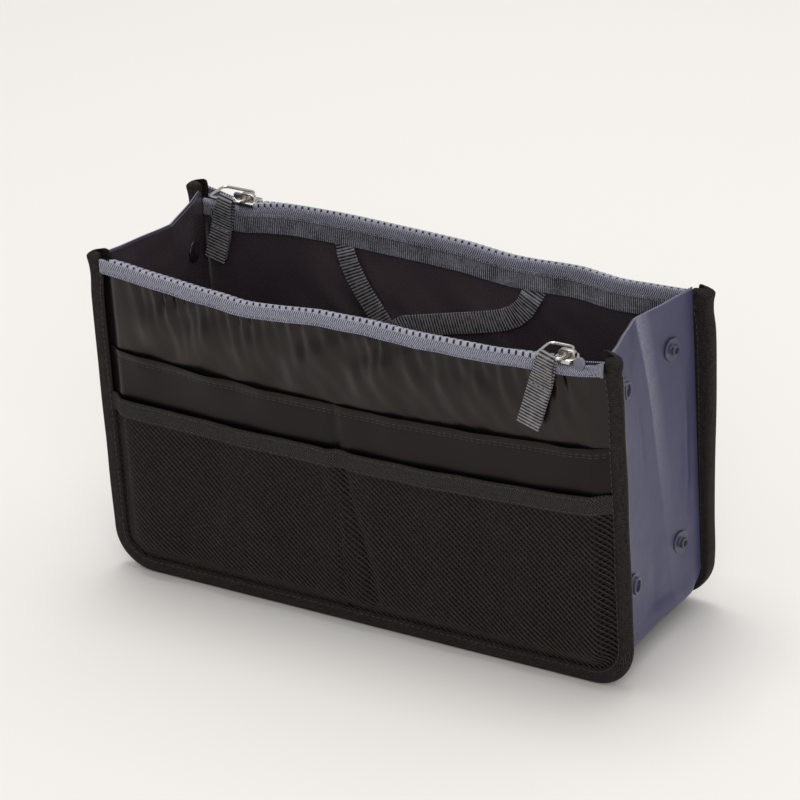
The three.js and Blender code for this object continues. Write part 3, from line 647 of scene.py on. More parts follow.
# %% [markdown]
# The padded walls are foam between two layers of nylon. The zip tape gathers their top edge,
# so short puckers hang from it, and the foam rolls out between the zip and the pocket. A
# cloth simulation would draw folds in places of its own, and here each has its place, so the
# grid is shaped by sums of waves, and then closed to the wall's full thickness.

# %% Padded walls
def panel_spot(along, across, inset, top):
    """A point of a panel piece with rounded lower corners, up to the line top(x)."""
    half = HALF_WIDTH - inset
    x = half * (0.35 * np.sin((along - 0.5) * math.pi) + 0.65 * (2 * along - 1))
    over = np.clip(np.abs(x) - ARC_X, 0, CORNER - inset)
    low = CORNER - np.sqrt(np.maximum((CORNER - inset) ** 2 - over ** 2, 0))
    return x, low + (top(x) - low) * across


WALL_INSET = 1.6


def padded_wall(panel):
    def place(along, across):
        x, z = panel_spot(along, across, WALL_INSET,
                          lambda x: tape_foot(x, panel) + WALL_INSET)
        return x, layer_y(x, z, panel, 0), z

    wall = lay_cloth(f"{panel}_padded_wall", 220, 100, place, (287, 155))
    only(wall)
    bpy.ops.object.mode_set(mode="EDIT")
    bpy.ops.mesh.select_all(action="SELECT")
    bpy.ops.mesh.extrude_region_move()
    bpy.ops.transform.resize(value=(1, 0, 1), center_override=metres(0, WALL_BACK_Y, 0))
    bpy.ops.object.mode_set(mode="OBJECT")
    mend(wall)
    on_panel(wall, panel, satin, "satin_nylon", "outer_wall")


for panel in PANELS:
    padded_wall(panel)

# %% [markdown]
# The pockets are single sheets of nylon sewn into the binding at the sides and below. Their
# mouths are turned over to a hem, sag between the stitched places, and stand off a little.

# %% Slip pockets
POCKET_WIDTH = 282
POCKET_LOW = 4.0
# Of each outside pocket: its mouth, the place of its dividing line, and its node.
POCKETS = {"front": (SLIP_TOP, 7.6, "slip_pocket"), "back": (LOWER_TOP, 0.0, "lower_pocket")}


def mouth_gap(x, z, top, stitched, amount):
    """Stands a pocket's mouth off between the places where it is sewn down."""
    marks = np.array([-SEAM_X, stitched, SEAM_X])
    i = np.clip(np.searchsorted(marks, x) - 1, 0, len(marks) - 2)
    share = (x - marks[i]) / (marks[i + 1] - marks[i])
    arch = np.sin(np.clip(share, 0, 1) * math.pi)
    return amount * arch * np.exp(-np.maximum(top - z, 0) / 14)


def slip_y(x, z, panel):
    """Outer face of a slip pocket: sewn down at the divider, with its mouth turned over."""
    mouth, divider, _ = POCKETS[panel]
    top = through(mouth, x)
    y = layer_y(x, z, panel, 1.4) + 0.35 * ease((from_edge(x, z) - 9) / 8)
    y = y + mouth_gap(x, z, top, divider, 1.3)
    y = y - 0.9 * np.exp(-((x - divider) / 1.6) ** 2)
    near_top = np.exp(-np.maximum(top - z, 0) / 12)
    y = y + 0.55 * folds(x, z * 0.7, 24, PANELS[panel]["seed"] + 11, 0.3, 0.6) * near_top
    y = y + 0.35 * np.exp(-((top - z - 1.2) / 1.3) ** 2)
    return y - 0.25 * np.exp(-((top - z - 4.0) / 0.8) ** 2)


def slip_pocket(panel):
    mouth, _, node = POCKETS[panel]

    def place(along, across):
        x, z = panel_spot(along, across, POCKET_LOW, lambda x: through(mouth, x))
        return x, slip_y(x, z, panel), z

    pocket = lay_cloth(f"{panel}_pocket_cloth", 150, 90, place, (POCKET_WIDTH, 118))
    thicken(pocket, 0.5)
    on_panel(pocket, panel, pocket_cloth, "pocket_nylon", node)
    height = float(np.mean([value for _, value in mouth])) - POCKET_LOW


for panel in POCKETS:
    slip_pocket(panel)

# %% [markdown]
# The mesh pocket is a real net: slanting threads in two directions, drawn as curves and given
# their thickness by a bevel. It hangs from a grosgrain hem, and one line of stitching halves
# it, which pulls a deep fold into the net.

# %% Mesh pocket and its hem
NET_STEP_X = 1.6
NET_STEP_Z = 1.45
NET_THREADS = ((1, 0.39), (-1, 0.18))
NET_LOW = 6.5
HEM_HEIGHT = 9.5


def net_y(x, z):
    """The net's place: a loose layer that never sinks into the pocket behind it."""
    inside = ease((from_edge(x, z) - 9) / 8)
    fold_x = 4.0 - 13.0 * ease((95 - z) / 86)
    gap = 0.8 + 1.3 * inside + 0.45 * folds(x, 0.3 * z, 38, 23, 0.2, 0.5) * inside
    gap = gap - 1.5 * np.exp(-((x - fold_x) / 3.4) ** 2) * inside
    gap = gap + 1.0 * np.exp(-((x - fold_x - 7) / 5) ** 2) * inside
    return slip_y(x, z, "front") + np.maximum(gap, 0.75)


def net_threads(name, lean, radius):
    """The threads that lean one way, as the lines of one curve."""
    lines = bpy.data.curves.new(name, "CURVE")
    lines.dimensions = "3D"
    lines.bevel_depth = radius * MM
    lines.bevel_resolution = 0
    lines.use_fill_caps = True
    for start in np.arange(-SEAM_X - 110, SEAM_X + 110, 2 * NET_STEP_X):
        z = np.arange(NET_LOW, 99, NET_STEP_Z)
        x = start + lean * (z - NET_LOW) * NET_STEP_X / NET_STEP_Z + 1.2 * np.sin(z / 17.0)
        inside = (from_edge(x, z) > 6) & (z < through(HEM_TOP, x) - 4)
        x, z = x[inside], z[inside]
        if len(x) < 3:
            continue
        line = lines.splines.new("POLY")
        line.points.add(len(x) - 1)
        spots = np.stack([x, net_y(x, z) + 0.15 * lean, z, np.full_like(x, 1000)], axis=1)
        line.points.foreach_set("co", (spots * MM).ravel())
    only(new_object(name, lines))
    bpy.ops.object.convert(target="MESH")
    return bpy.context.object


def mesh_pocket():
    other, net = (net_threads("front_mesh_net", lean, radius) for lean, radius in NET_THREADS)
    other.select_set(True)
    bpy.ops.object.join()
    net.name = net.data.name = "front_mesh_net"
    on_panel(net, "front", net_thread, "net", "mesh_pocket", angle=60)


def mesh_hem():
    def place(along, across):
        x = (SEAM_X + 2) * (2 * along - 1)
        z = through(HEM_TOP, x) - HEM_HEIGHT * (1 - across)
        return x, net_y(x, z) + 0.55 + 0.15 * np.sin(across * math.pi), z

    hem = lay_cloth("front_mesh_hem_tape", 150, 10, place, (272, HEM_HEIGHT))
    thicken(hem, 0.9)
    on_panel(hem, "front", hem_tape, "binding_tape", "mesh_hem")


mesh_pocket()
mesh_hem()

# %% [markdown]
# Inside, each panel has a lining with a shallow pocket. The lining is slack between its
# seams, so it is laid with soft upright folds, but flat near the sides, where the folded
# gusset comes to lie on it.

# %% Linings and inner pockets
LINING_SIZE = (286, 155)
LINING_INSET = 1.8
INNER_POCKET_SIZE = (252, 88)
INNER_POCKET_LOW = 12


def lining_y(x, z, panel):
    seed = PANELS[panel]["seed"] + 20
    middle = ease((92 - np.abs(x)) / 30) * ease((from_edge(x, z) - 9) / 20)
    middle = middle * ease((152 - z) / 22)
    slack = 0.95 + 0.8 * folds(x + 0.4 * z, 0.6 * z, 42, seed, 0.1, 0.6)
    slack = slack + 0.65 * folds(x + 0.8 * z, 0.7 * z, 19, seed + 1, 0.2, 0.6)
    slack = slack + 0.3 * folds(x + 0.5 * z, 0.4 * z, 12, seed + 3, 0.1, 0.3)
    return INNER_WALL_Y + 0.3 - np.clip(slack, -0.2, 2.1) * middle


def inner_lining(panel):
    def place(along, across):
        x, z = panel_spot(along, across, LINING_INSET,
                          lambda x: tape_foot(x, panel) - 1.3)
        return x, lining_y(x, z, panel), z

    lining = lay_cloth(f"{panel}_lining", 110, 60, place, LINING_SIZE)
    thicken(lining, 0.6, 1)
    on_panel(lining, panel, lining_cloth, "lining", "inner_wall")


def inner_pocket(panel):
    half = INNER_POCKET_SIZE[0] / 2

    def place(along, across):
        x = half * (2 * along - 1)
        top = 100 - 1.5 * np.sin(np.clip(np.abs(x) / half, 0, 1) * math.pi)
        z = INNER_POCKET_LOW + (top - INNER_POCKET_LOW) * across
        y = lining_y(x, z, panel) - 0.75 - 0.6 * ease((92 - np.abs(x)) / 20) * across
        return x, y - 0.3 * np.exp(-((top - z - 1.0) / 1.3) ** 2), z

    pocket = lay_cloth(f"{panel}_inner_pocket_cloth", 90, 50, place, INNER_POCKET_SIZE)
    thicken(pocket, 0.5)
    on_panel(pocket, panel, lining_cloth, "lining", "inner_pocket")


for panel in PANELS:
    inner_lining(panel)
    inner_pocket(panel)

# %% [markdown]
# The binding is a herringbone tape folded over the raw edges, down one side, round the bottom
# and up the other. A C-shaped outline is carried along that path. Its top ends stand up past
# the zip as small ears, cut on a slant and pushed a little outwards.

# %% Binding
BINDING_OUTLINE = [
    (8.2, 45.9), (8.4, 45.2), (8.1, 44.5), (4.0, 44.4), (1.3, 44.2), (1.3, 40.3), (4.0, 40.2),
    (8.6, 40.1), (8.9, 39.0), (8.6, 38.0), (4.0, 37.9), (1.4, 38.1), (0.35, 39.2), (0.0, 41.0),
    (0.0, 43.2), (0.35, 44.9), (1.4, 46.0), (4.0, 46.3),
]


def binding_path(step):
    """Places on the outer edge and the directions inwards, every step millimetres."""
    side = np.arange(EDGE_TOP, CORNER, -step)
    low = np.arange(-ARC_X + step, ARC_X, step)
    turns = int(CORNER * math.pi / 2 / step)
    turn = math.pi + np.arange(turns + 1) / turns * math.pi / 2
    spots, inwards = [], []

    def straight(x, z, inward):
        spots.append(np.stack(np.broadcast_arrays(x, z), axis=1))
        inwards.append(np.tile(inward, (len(spots[-1]), 1)))

    def rounded(middle, angle):
        inwards.append(-np.stack([np.cos(angle), np.sin(angle)], axis=1))
        spots.append((middle, CORNER) - CORNER * inwards[-1])

    straight(-HALF_WIDTH, side, (1, 0))
    rounded(-ARC_X, turn)
    straight(low, 0, (0, 1))
    rounded(ARC_X, turn + math.pi / 2)
    straight(HALF_WIDTH, side[::-1], (-1, 0))
    return np.concatenate(spots), np.concatenate(inwards)


def binding_waver(spots, panel):
    """How far the bound edge wanders inwards, with the ears pushed out at the top."""
    run = np.arange(len(spots), dtype=float)
    wander = 0.16 * folds(run, 0 * run, 24, PANELS[panel]["seed"] + 30, 0, 0)
    z = spots[:, 1]
    ear = ease((z - 163) / 5)
    waist = np.exp(-((z - 158) / 7) ** 2)
    return (wander * ease(z / 10) + 1.0 * waist - 0.9 * ear)[:, None]


def binding(panel):
    spots, inwards = binding_path(2.5)
    x, z = (spots + inwards * binding_waver(spots, panel)).T
    path = as_points(x, 0, z)
    across = as_points(inwards[:, 0], 0, inwards[:, 1])
    across[:, 2] += 0.3 * ease((spots[:, 1] - 160) / 8)
    across *= 1 + 0.13 * ease((spots[:, 1:] - 160) / 6)
    outwards = np.array([0.0, 1.0, 0.0])
    if panel == "front":
        skew = 0.5 * np.maximum(inwards[:, :1], 0) * across
        path = path + 44 * skew
        outwards = outwards - skew
    else:
        path[:, 2] -= np.sign(spots[:, 0]) * 2.4 * ease((spots[:, 1] - 135) / 33)
    piece = sweep(f"{panel}_binding_tape", path, across, outwards, BINDING_OUTLINE)
    soften(piece)
    on_panel(piece, panel, binding_tape, "binding_tape", "binding")


for panel in PANELS:
    binding(panel)

# %% [markdown]
# Each side of the zip is a tape folded over the panel's edge with a row of moulded teeth. One
# tooth is modelled: a block that grips the tape, a narrow neck and a wider head. It is then
# set along both tapes, half a pitch apart, so that every head fills the gap between two necks.

# %% Zip tapes and bands
# The tape's outline: out from the chain, up, and how much each point follows the rolled chain.
TAPE = [(2.2, -0.6, 2.2), (3.2, -1.2, 3.2), (3.75, -1.8, 3.75), (3.95, -2.5, 2.6),
        (4.0, -3.6, 1.2), (3.95, -TAPE_DROP, 0), (3.7, -8.5, 0)]
CORD_OUTLINE = [(2.2, -0.6), (2.6, -0.9), (3.2, -0.9), (3.45, -0.5), (3.45, 0.5), (3.2, 0.9),
                (2.6, 0.9), (2.2, 0.6)]
BAND_RUN = 130.0
BAND_HEIGHT = 9.8


def zip_side_tape(panel, word, side):
    profile = np.array(TAPE[:6] if side > 0 else TAPE)
    run = reach(profile[:, :2])

    def place(along, across):
        x = (SEAM_X - 0.4) * (2 * along - 1)
        bow, rise = zip_line(x, panel)
        out, up, follow = (np.interp(across * run[-1], run, row) for row in profile.T)
        rolled = side * np.tan(zip_tilt(x, panel))
        cover = through(ZIP_COVER[panel], x) * (rolled > 0)
        up = up + (rolled + cover / 3.75) * follow
        flutter = 0.2 * folds(x, 0 * x, 20, PANELS[panel]["seed"] + side, 0, 0)
        low = ease(across * 1.2 - 0.4)
        return x, CHAIN_Y + bow + side * (out + flutter * low), CHAIN_Z + rise + up

    tape = lay_cloth(f"{panel}_{word}_zip_tape", 180, 16, place, (271, run[-1]))
    thicken(tape, 0.55)
    on_panel(tape, panel, zip_tape, "zip_tape", f"zip_{word}_tape")


def painted_shade_cord(panel, word, side):
    """The cord that the teeth grip, painted dark so that the gaps between the teeth look
    shaded: painted shade.
    """
    x = np.arange(PANELS[panel]["slider"] + 4, 134, 2.5)
    bow, rise = zip_line(x, panel)
    roll = zip_tilt(x, panel)
    path = as_points(x, CHAIN_Y + bow, CHAIN_Z + rise)
    across = side * as_points(0, np.cos(roll), np.sin(roll))
    up = as_points(0, -np.sin(roll), np.cos(roll))
    cord = sweep(f"{panel}_{word}_painted_shade_cord", path, across, up, CORD_OUTLINE)
    on_panel(cord, panel, gap_shade_cloth, "zip_tape")


def stitched_band(panel):
    def place(along, across):
        x = BAND_RUN * (2 * along - 1)
        bow, rise = zip_line(x, panel)
        down = 3.0 + BAND_HEIGHT * (1 - across)
        flutter = 0.15 * folds(x, 0 * x, 25, PANELS[panel]["seed"] + 3, 0, 0)
        ridge = 0.2 * np.exp(-((down - 4.0) / 0.5) ** 2) + 0.16 * ease((down - 10.0) / 0.6)
        y = CHAIN_Y + bow * 0.6 - 5.1 - ridge - flutter * (1 - across)
        return x, y, CHAIN_Z + rise - down

    band = lay_cloth(f"{panel}_stitched_band", 170, 26, place, (2 * BAND_RUN, BAND_HEIGHT))
    thicken(band, 0.6)
    on_panel(band, panel, band_tape, "band_tape", "zip_band")


for panel in PANELS:
    for word, side in TAPES.items():
        zip_side_tape(panel, word, side)
        painted_shade_cord(panel, word, side)
    stitched_band(panel)

# %% Zip teeth
PITCH = 3.6
LAST_TOOTH = 134.5
# How far each step goes from the grip towards the head, and how the block widens after it.
TOOTH_STEPS = ((-1.1, 1.0), (-0.5, 1.7), (-1.3, 0.9))


def model_tooth():
    """One tooth of the outer tape: its grip is at +Y and its head at -Y."""
    tooth = block((2.35, 2.3, 2.4), (0, 2.75, 0))
    bpy.ops.object.mode_set(mode="EDIT")
    bpy.ops.mesh.select_mode(type="FACE")
    bpy.ops.mesh.select_all(action="DESELECT")
    bpy.ops.object.mode_set(mode="OBJECT")
    for face in tooth.data.polygons:
        face.select = face.normal.y < -0.9
    bpy.ops.object.mode_set(mode="EDIT")
    middle = metres(0, 1.6, 0)
    bpy.ops.mesh.extrude_region_move()
    bpy.ops.transform.resize(value=(0.44, 1, 0.8), center_override=middle)
    for step, width in TOOTH_STEPS:
        bpy.ops.mesh.extrude_region_move(
            TRANSFORM_OT_translate={"value": (0, step * MM, 0)})
        bpy.ops.transform.resize(value=(width, 1, 1), center_override=middle)
    bpy.ops.object.mode_set(mode="OBJECT")
    bevel(tooth, 0.4, 1, 30)
    mend(tooth)
    return tooth


def teeth(panel, word, side):
    start = PANELS[panel]["slider"] + 3
    count = int((LAST_TOOTH - start - PITCH) / PITCH)
    frames = []
    for x in start + (np.arange(count) + (0.5 if side > 0 else 1)) * PITCH:
        at = np.array([x - 0.5, x + 0.5])
        bow, rise = zip_line(at, panel)
        slope = math.atan2(rise[1] - rise[0], 1)
        roll = float(zip_tilt(at, panel).mean())
        turn = Matrix.Rotation(-slope, 3, "Y") @ Matrix.Rotation(roll, 3, "X")
        if side < 0:
            turn = turn @ Matrix.Rotation(math.pi, 3, "Z")
        frames.append(((x, CHAIN_Y + bow.mean(), CHAIN_Z + rise.mean()), turn))
    row = repeat(f"{panel}_{word}_teeth", tooth, frames)
    on_panel(row, panel, tooth_plastic, "zip_tape", angle=50)


tooth = model_tooth()
for panel in PANELS:
    for word, side in TAPES.items():
        teeth(panel, word, side)
bpy.data.objects.remove(tooth)

# %% [markdown]
# Stitches. One stitch is a small rounded block of thread. Rows of it hold the binding, the
# hems, the tapes and the pocket's dividing line. A row only needs places and two directions.

# %% Stitches
STITCH_PITCH = 3.0
HEM_X = np.arange(-134, 134, STITCH_PITCH)
# The net hides the front divider below this height.
DIVIDER_LOW = {"front": 96, "back": 12}


def model_stitch(length, width, height):
    stitch = block((length * 1.2, width * 1.3, height * 1.3))
    soften(stitch)
    return stitch


def stitch_row(name, places, out, panel, material=thread, slot="binding_tape"):
    """Stitches at these places, each turned towards the next and lying against the cloth."""
    runs = unit(np.gradient(places, axis=0))
    sides = unit(np.cross((0.0, out, 0.0), runs))
    turns = np.stack([runs, sides, np.cross(runs, sides)], axis=2)
    row = repeat(name, stitch, zip(places, turns))
    on_panel(row, panel, material, slot, angle=60)


def edge_stitches(panel):
    spots, inwards = binding_path(3.2)
    line = (spots + inwards * (6.9 + binding_waver(spots, panel)))[spots[:, 1] < 160]
    for word, y, out in (("outer", 46.2, 1), ("inner", 37.92, -1)):
        places = as_points(line[:, 0], y, line[:, 1])
        stitch_row(f"{panel}_{word}_binding_stitches", places, out, panel)


def zip_stitches(panel):
    for word, half, bowed, aside, down, out in (("zip", 134, 1, 4.3, 4.3, 1),
                                                ("band", 128, 0.6, -5.6, 4.1, -1)):
        x = np.arange(-half, half, STITCH_PITCH)
        bow, rise = zip_line(x, panel)
        places = as_points(x, CHAIN_Y + bowed * bow + aside, CHAIN_Z + rise - down)
        stitch_row(f"{panel}_{word}_stitches", places, out, panel, tape_thread,
                   f"{word}_tape")


def pocket_stitches(panel):
    mouth, divider, _ = POCKETS[panel]
    z = np.arange(through(mouth, divider) - 5.5, DIVIDER_LOW[panel], -STITCH_PITCH)
    rows = [("divider_stitches", np.full_like(z, divider), z)]
    for row, down in enumerate((3.2, 4.6)):
        rows.append((f"hem_stitches_{row}", HEM_X, through(mouth, HEM_X) - down))
    for word, x, z in rows:
        places = as_points(x, slip_y(x, z, panel) + 0.28, z)
        stitch_row(f"{panel}_pocket_{word}", places, 1, panel, thread, "pocket_nylon")


stitch = model_stitch(2.2, 0.5, 0.4)
for panel in PANELS:
    edge_stitches(panel)
    zip_stitches(panel)
    pocket_stitches(panel)
for row, down in enumerate((1.3, 8.3)):
    z = through(HEM_TOP, HEM_X) - down
    stitch_row(f"front_mesh_hem_stitches_{row}", as_points(HEM_X, net_y(HEM_X, z) + 1.15, z),
               1, "front")
bpy.data.objects.remove(stitch)

# %% [markdown]
# The sliders keep the frame's shape: two plates, their flanges, the post that parts the teeth,
# and a bridge. A bevel rounds every rim, because plated metal shows itself on its edges. The
# pull ring is a closed loop of round wire through that bridge.

# %% Sliders and pull rings
RING_Z = 167.2
RING_HALF_WIDTH = 7.0
RING_CORNER = 2.7
WIRE = 0.8
# Of each pull ring: the middle of its loop and half of its length.
RINGS = {"front": (110.6, -43.66, 6.4), "back": (-120.25, 43.66, 9.25)}


def slider_body(panel):
    name = f"{panel}_slider"
    piece = new_object(f"{name}_body", bpy.data.objects[name].data.copy())
    only(piece)
    bpy.ops.mesh.customdata_custom_splitnormals_clear()
    mend(piece, lambda: bpy.ops.mesh.dissolve_limited(angle_limit=math.radians(3)))
    bevel(piece, 0.22, 2, 40)
    dress(piece, steel, "steel", name, [name], angle=35)


def pull_ring(panel):
    x, y, half_length = RINGS[panel]
    angle = np.radians([start + i * 90 / 8 for start in (0, 90, 180, 270) for i in range(9)])
    outer = as_points(np.cos(angle), np.sin(angle), 0)
    quarters = np.repeat([(1, 1, 0), (-1, 1, 0), (-1, -1, 0), (1, -1, 0)], 9, axis=0)
    straight = np.array([half_length, RING_HALF_WIDTH, 0]) - RING_CORNER
    path = (x, y, RING_Z) + quarters * straight + RING_CORNER * outer
    angle = np.linspace(0, 2 * math.pi, 13)[:-1]
    circle = WIRE * np.stack([np.cos(angle), np.sin(angle)], axis=1)
    piece = sweep(f"{panel}_wire_ring", path, outer, (0, 0, 1), circle, loop=True)
    soften(piece)
    dress(piece, steel, "steel", f"{panel}_pull_ring", [f"{panel}_pull_ring"], angle=60)


for panel in PANELS:
    slider_body(panel)
    pull_ring(panel)

# %% [markdown]
# Webbing is stiff and can't bend in its own plane. The pull tabs fold double round the ring
# and are sewn across below it. The handles lie flat on the lining and turn in mitres, and at
# the sharpest corner the strap is folded over itself and stands off a little.

# %% Pull tabs and handles
STRAP = [(-0.5, -0.28), (-0.485, -0.44), (-0.45, -0.5), (0.45, -0.5), (0.485, -0.44),
         (0.5, -0.28), (0.5, 0.28), (0.485, 0.44), (0.45, 0.5), (-0.45, 0.5), (-0.485, 0.44),
         (-0.5, 0.28)]
TAB_WIDTH = 12
# Half the gap between a tab's two layers, and how much wider it gets towards the wire.
TAB_GAP = 0.62
TAB_SPREAD = 1.2
STRAP_WIDTH = 11
STRAP_Y = 37.26
STRAP_TOP = 146.8
HANDLE_ROUTE = np.array([
    (-50.3, 146.4), (-46.6, 138.0), (-41.5, 129.6), (-29.5, 112.4), (-20.0, 118.4),
    (28.0, 130.2), (35.5, 132.6), (42.0, 136.0), (47.0, 140.6), (50.4, 146.4)])
# The corner where the strap is folded over itself, and how far it stands off there.
FOLDED_CORNER = 3
FOLD_LIFT = 0.75


def strap_outline(width, thickness):
    return np.array(STRAP) * (width, thickness)


def pull_tab(panel, pivot, sway, lean, length):
    """Webbing that hangs from the wire at the pivot: down, round the wire and back down."""
    def pinch(down):
        return TAB_GAP + TAB_SPREAD * ease((15 - down) / 11)

    rear, front = np.linspace(length, 4, 12), np.linspace(4, length - 1.5, 12)
    angle = np.arange(1, 12) * math.pi / 12
    loop = -(TAB_GAP + TAB_SPREAD) * np.cos(angle)
    aside = np.concatenate([-pinch(rear), loop, pinch(front)])
    down = np.concatenate([rear, 0.6 - 2.3 * np.sin(angle), front])
    bend = 1.2 * np.sin(down / length * math.pi)
    path = as_points(0, aside + 0.5 * bend, -down)
    outwards = np.cross(unit(np.gradient(path, axis=0)), (1, 0, 0))
    gather = 0.68 + 0.27 * ease(down[:, None] / 15)
    piece = sweep(f"{panel}_webbing_tab", path, gather * (1, 0, 0), outwards,
                  strap_outline(TAB_WIDTH, 1.15))
    small_stitch = model_stitch(2.0, 0.5, 0.45)
    frames = [((step, face * 1.25 + 0.3, -row), np.eye(3)) for face in (-1, 1)
              for row in (13.4, 15.6) for step in (-3.8, -1.3, 1.3, 3.8)]
    tack = repeat(f"{panel}_tab_tack", small_stitch, frames)
    bpy.data.objects.remove(small_stitch)
    place = (
        Matrix.Translation(metres(*pivot))
        @ Matrix.Rotation(sway, 4, "Y")
        @ Matrix.Rotation(lean, 4, "X")
    )
    piece.data.transform(place)
    tack.data.transform(place)
    name = f"{panel}_pull_tab"
    dress(piece, webbing, "webbing", name, [name])
    dress(tack, pale_thread, "webbing", name, angle=60)
    return piece, tack


def handle(panel):
    runs = np.diff(HANDLE_ROUTE, axis=0)
    lengths = np.linalg.norm(runs, axis=1)
    runs = runs / lengths[:, None]
    normals = np.stack([-runs[:, 1], runs[:, 0]], axis=1)
    path, across = [], []
    for k, (run, normal, length) in enumerate(zip(runs, normals, lengths)):
        first = normals[k - 1] + normal if k else 2 * normal
        last = normals[k + 1] + normal if k + 1 < len(runs) else 2 * normal
        for t in np.linspace(0, 1, max(3, int(length / 2.5))):
            x, z = HANDLE_ROUTE[k] + run * length * t
            lift = FOLD_LIFT * ease(1 - t * length / 16) if k == FOLDED_CORNER else 0
            path.append((x, STRAP_Y - lift, z))
            middle = ease(min(t, 1 - t) * length / 7)
            end = first if t < 0.5 else last
            x, z = end / (end @ normal) * (1 - middle) + normal * middle
            across.append((x, 0, z))
    piece = sweep(f"{panel}_strap", path, across, (0, 1, 0), strap_outline(STRAP_WIDTH, 1.35))
    on_panel(piece, panel, webbing, "webbing", "handle", part="handle")


def strap_ends(panel):
    """The sewn ends of the strap, which pass behind the band and stay with the panel."""
    for number, (x, lean) in enumerate(((-50.3, -0.4), (50.4, 0.5))):
        low = CHAIN_Z + zip_line(x, panel)[1] - 12.8
        z = np.linspace(STRAP_TOP, low + 3.0, 14)
        behind = ease((z - low + 4.2) / 3.8)
        path = as_points(x + lean * (z - STRAP_TOP), 37.5 + 1.95 * behind, z)
        piece = sweep(f"{panel}_strap_end_{number}", path, unit(np.array([1, 0, -lean])),
                      (0, 1, 0), strap_outline(STRAP_WIDTH, 0.8))
        on_panel(piece, panel, webbing, "webbing")


pull_tab("front", (110.6, -50.66, RING_Z), math.radians(18), 0.0, 38)
for piece in pull_tab("back", (-119.0, 36.66, RING_Z), math.radians(14), math.radians(-4), 33):
    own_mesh(piece)
for panel in PANELS:
    handle(panel)
    strap_ends(panel)

# %% [markdown]
# The gusset joins the panels at the sides. It is one cloth with a lining, creased inwards in
# the middle. On the organizer its halves turn about the seams when it folds; here it is laid
# at rest as one piece over both halves. The crease is deepest at the open top. The cloth
# across it turns smoothly from one half to the other.

# %% Side gussets
CREASE_DEPTH = [(22, 5.2), (45, 4.8), (100, 4.8), (131, 5.8), (146, 7.2), (167, 8.8)]
GUSSET_LOW = CORNER - 0.6
GUSSET_TOP = 168.6
GUSSET_SIZE = (77.5, 145)
GUSSET_REACH = 38.2
SIDES = {"right": 1, "left": -1}


def cloth_pair(name, grid, chart, gap, place):
    """Lays slate cloth and its lining by place(along, across, shift), and yields both."""
    for word, shift, thickness, *dressing in (
            ("cloth", 0.0, 0.55, gusset_cloth, "gusset_nylon", ""),
            ("lining", gap, 0.5, lining_cloth, "lining", "_lining")):
        piece = lay_cloth(f"{name}_{word}", *grid, lambda a, b: place(a, b, shift), chart)
        thicken(piece, thickness)
        yield piece, *dressing


def creased_pair(name, grid, chart, gap, place):
    """A pair of creased cloths laid at rest, each standing for the rear and front halves'
    nodes.
    """
    pair = []
    for piece, material, slot, suffix in cloth_pair(name, grid, chart, gap, place):
        nodes = [f"{name}_{half}{suffix}" for half in ("rear", "front")]
        dress(piece, material, slot, None, nodes, angle=50)
        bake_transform(piece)
        pair.append(piece)
    return pair


def gusset_x(y, z, side):
    """Distance of a side gusset's cloth from the middle of the organizer."""
    seed = 61 if side == "right" else 62
    share = np.clip(1 - np.abs(y) / HINGE_Y, 0, 1)
    rounded = share - 0.018 * np.exp(-(y / 2.2) ** 2)
    depth = through(CREASE_DEPTH, z) * rounded
    near_seam = np.exp(-(HINGE_Y - np.abs(y)) / 7)
    pucker = 0.35 * folds(z, 0 * z, 13, seed, 0, 0) * near_seam * (1 - np.exp(-(z - 21) / 9))
    hollow = 0.7 * np.sin(share * math.pi) * (1 - ease((z - 150) / 17)) * ease((z - 22) / 35)
    crinkle = 0.16 * folds(y, z, 15, seed + 5) + 0.3 * folds(y, 0.6 * z, 42, seed + 6)
    rear_fold = np.exp(-((y - 29 - 0.02 * (z - 85)) / 2.4) ** 2 - ((z - 85) / 27) ** 2)
    front_fold = np.exp(-((y + 10 + 0.15 * (z - 120)) / 3) ** 2 - ((z - 115) / 25) ** 2)
    loose = pucker - hollow + crinkle * ease(share * 4) + 1.2 * rear_fold + 0.6 * front_fold
    lap = 0.15 * ease((CORNER + 4 - z) / 3)
    return SEAM_X + 0.1 - depth + lap + loose * np.sin(np.clip(share * 3, 0, 1) * 1.57)


def gusset_cloths(side, sign):
    def place(along, across, shift):
        y = GUSSET_REACH * (2 * along - 1) * (1 - 0.004 * shift)
        sag = 0.7 * ease((GUSSET_REACH - np.abs(y)) / 12)
        z = GUSSET_LOW + (GUSSET_TOP - sag - 0.7 * shift - GUSSET_LOW) * across
        return sign * (gusset_x(y, z, side) - shift), y, z

    pair = creased_pair(f"{side}_gusset", (76, 90), GUSSET_SIZE, 1.05, place)


for side, sign in SIDES.items():
    gusset_cloths(side, sign)

# %% [markdown]
# The snaps are turned parts: a profile carried round an axis. A stud stands on the rear half
# and a socket on the front half, each on a broad flange, with a domed rivet cap on the lining.

# %% Snaps
FLANGE = [(0, -0.9), (1.9, -0.9), (2.0, 0.05), (5.6, 0.05), (6.05, 0.2), (6.2, 0.5),
          (6.05, 0.85), (5.5, 1.0)]
STUD = [*FLANGE, (4.6, 0.82), (3.5, 0.8), (2.9, 0.95), (2.6, 1.5), (2.75, 2.1), (2.95, 2.55),
        (2.8, 2.95), (2.4, 3.15), (1.85, 3.05), (1.6, 2.5), (1.45, 1.6), (0, 1.5)]
SOCKET = [*FLANGE, (4.9, 0.95), (4.6, 1.3), (4.55, 2.3), (4.4, 2.6), (4.0, 2.7), (3.4, 2.6),
          (3.15, 2.3), (3.2, 1.3), (3.0, 1.1), (0, 1.1)]
CAP = [(0, 1.9), (1.7, 1.9), (1.75, 0.05), (5.5, 0.05), (6.0, 0.15), (6.2, 0.4), (6.0, 0.8),
       (5.0, 1.15), (3.4, 1.5), (1.8, 1.7), (0, 1.75)]
SNAP_Y = 23.0
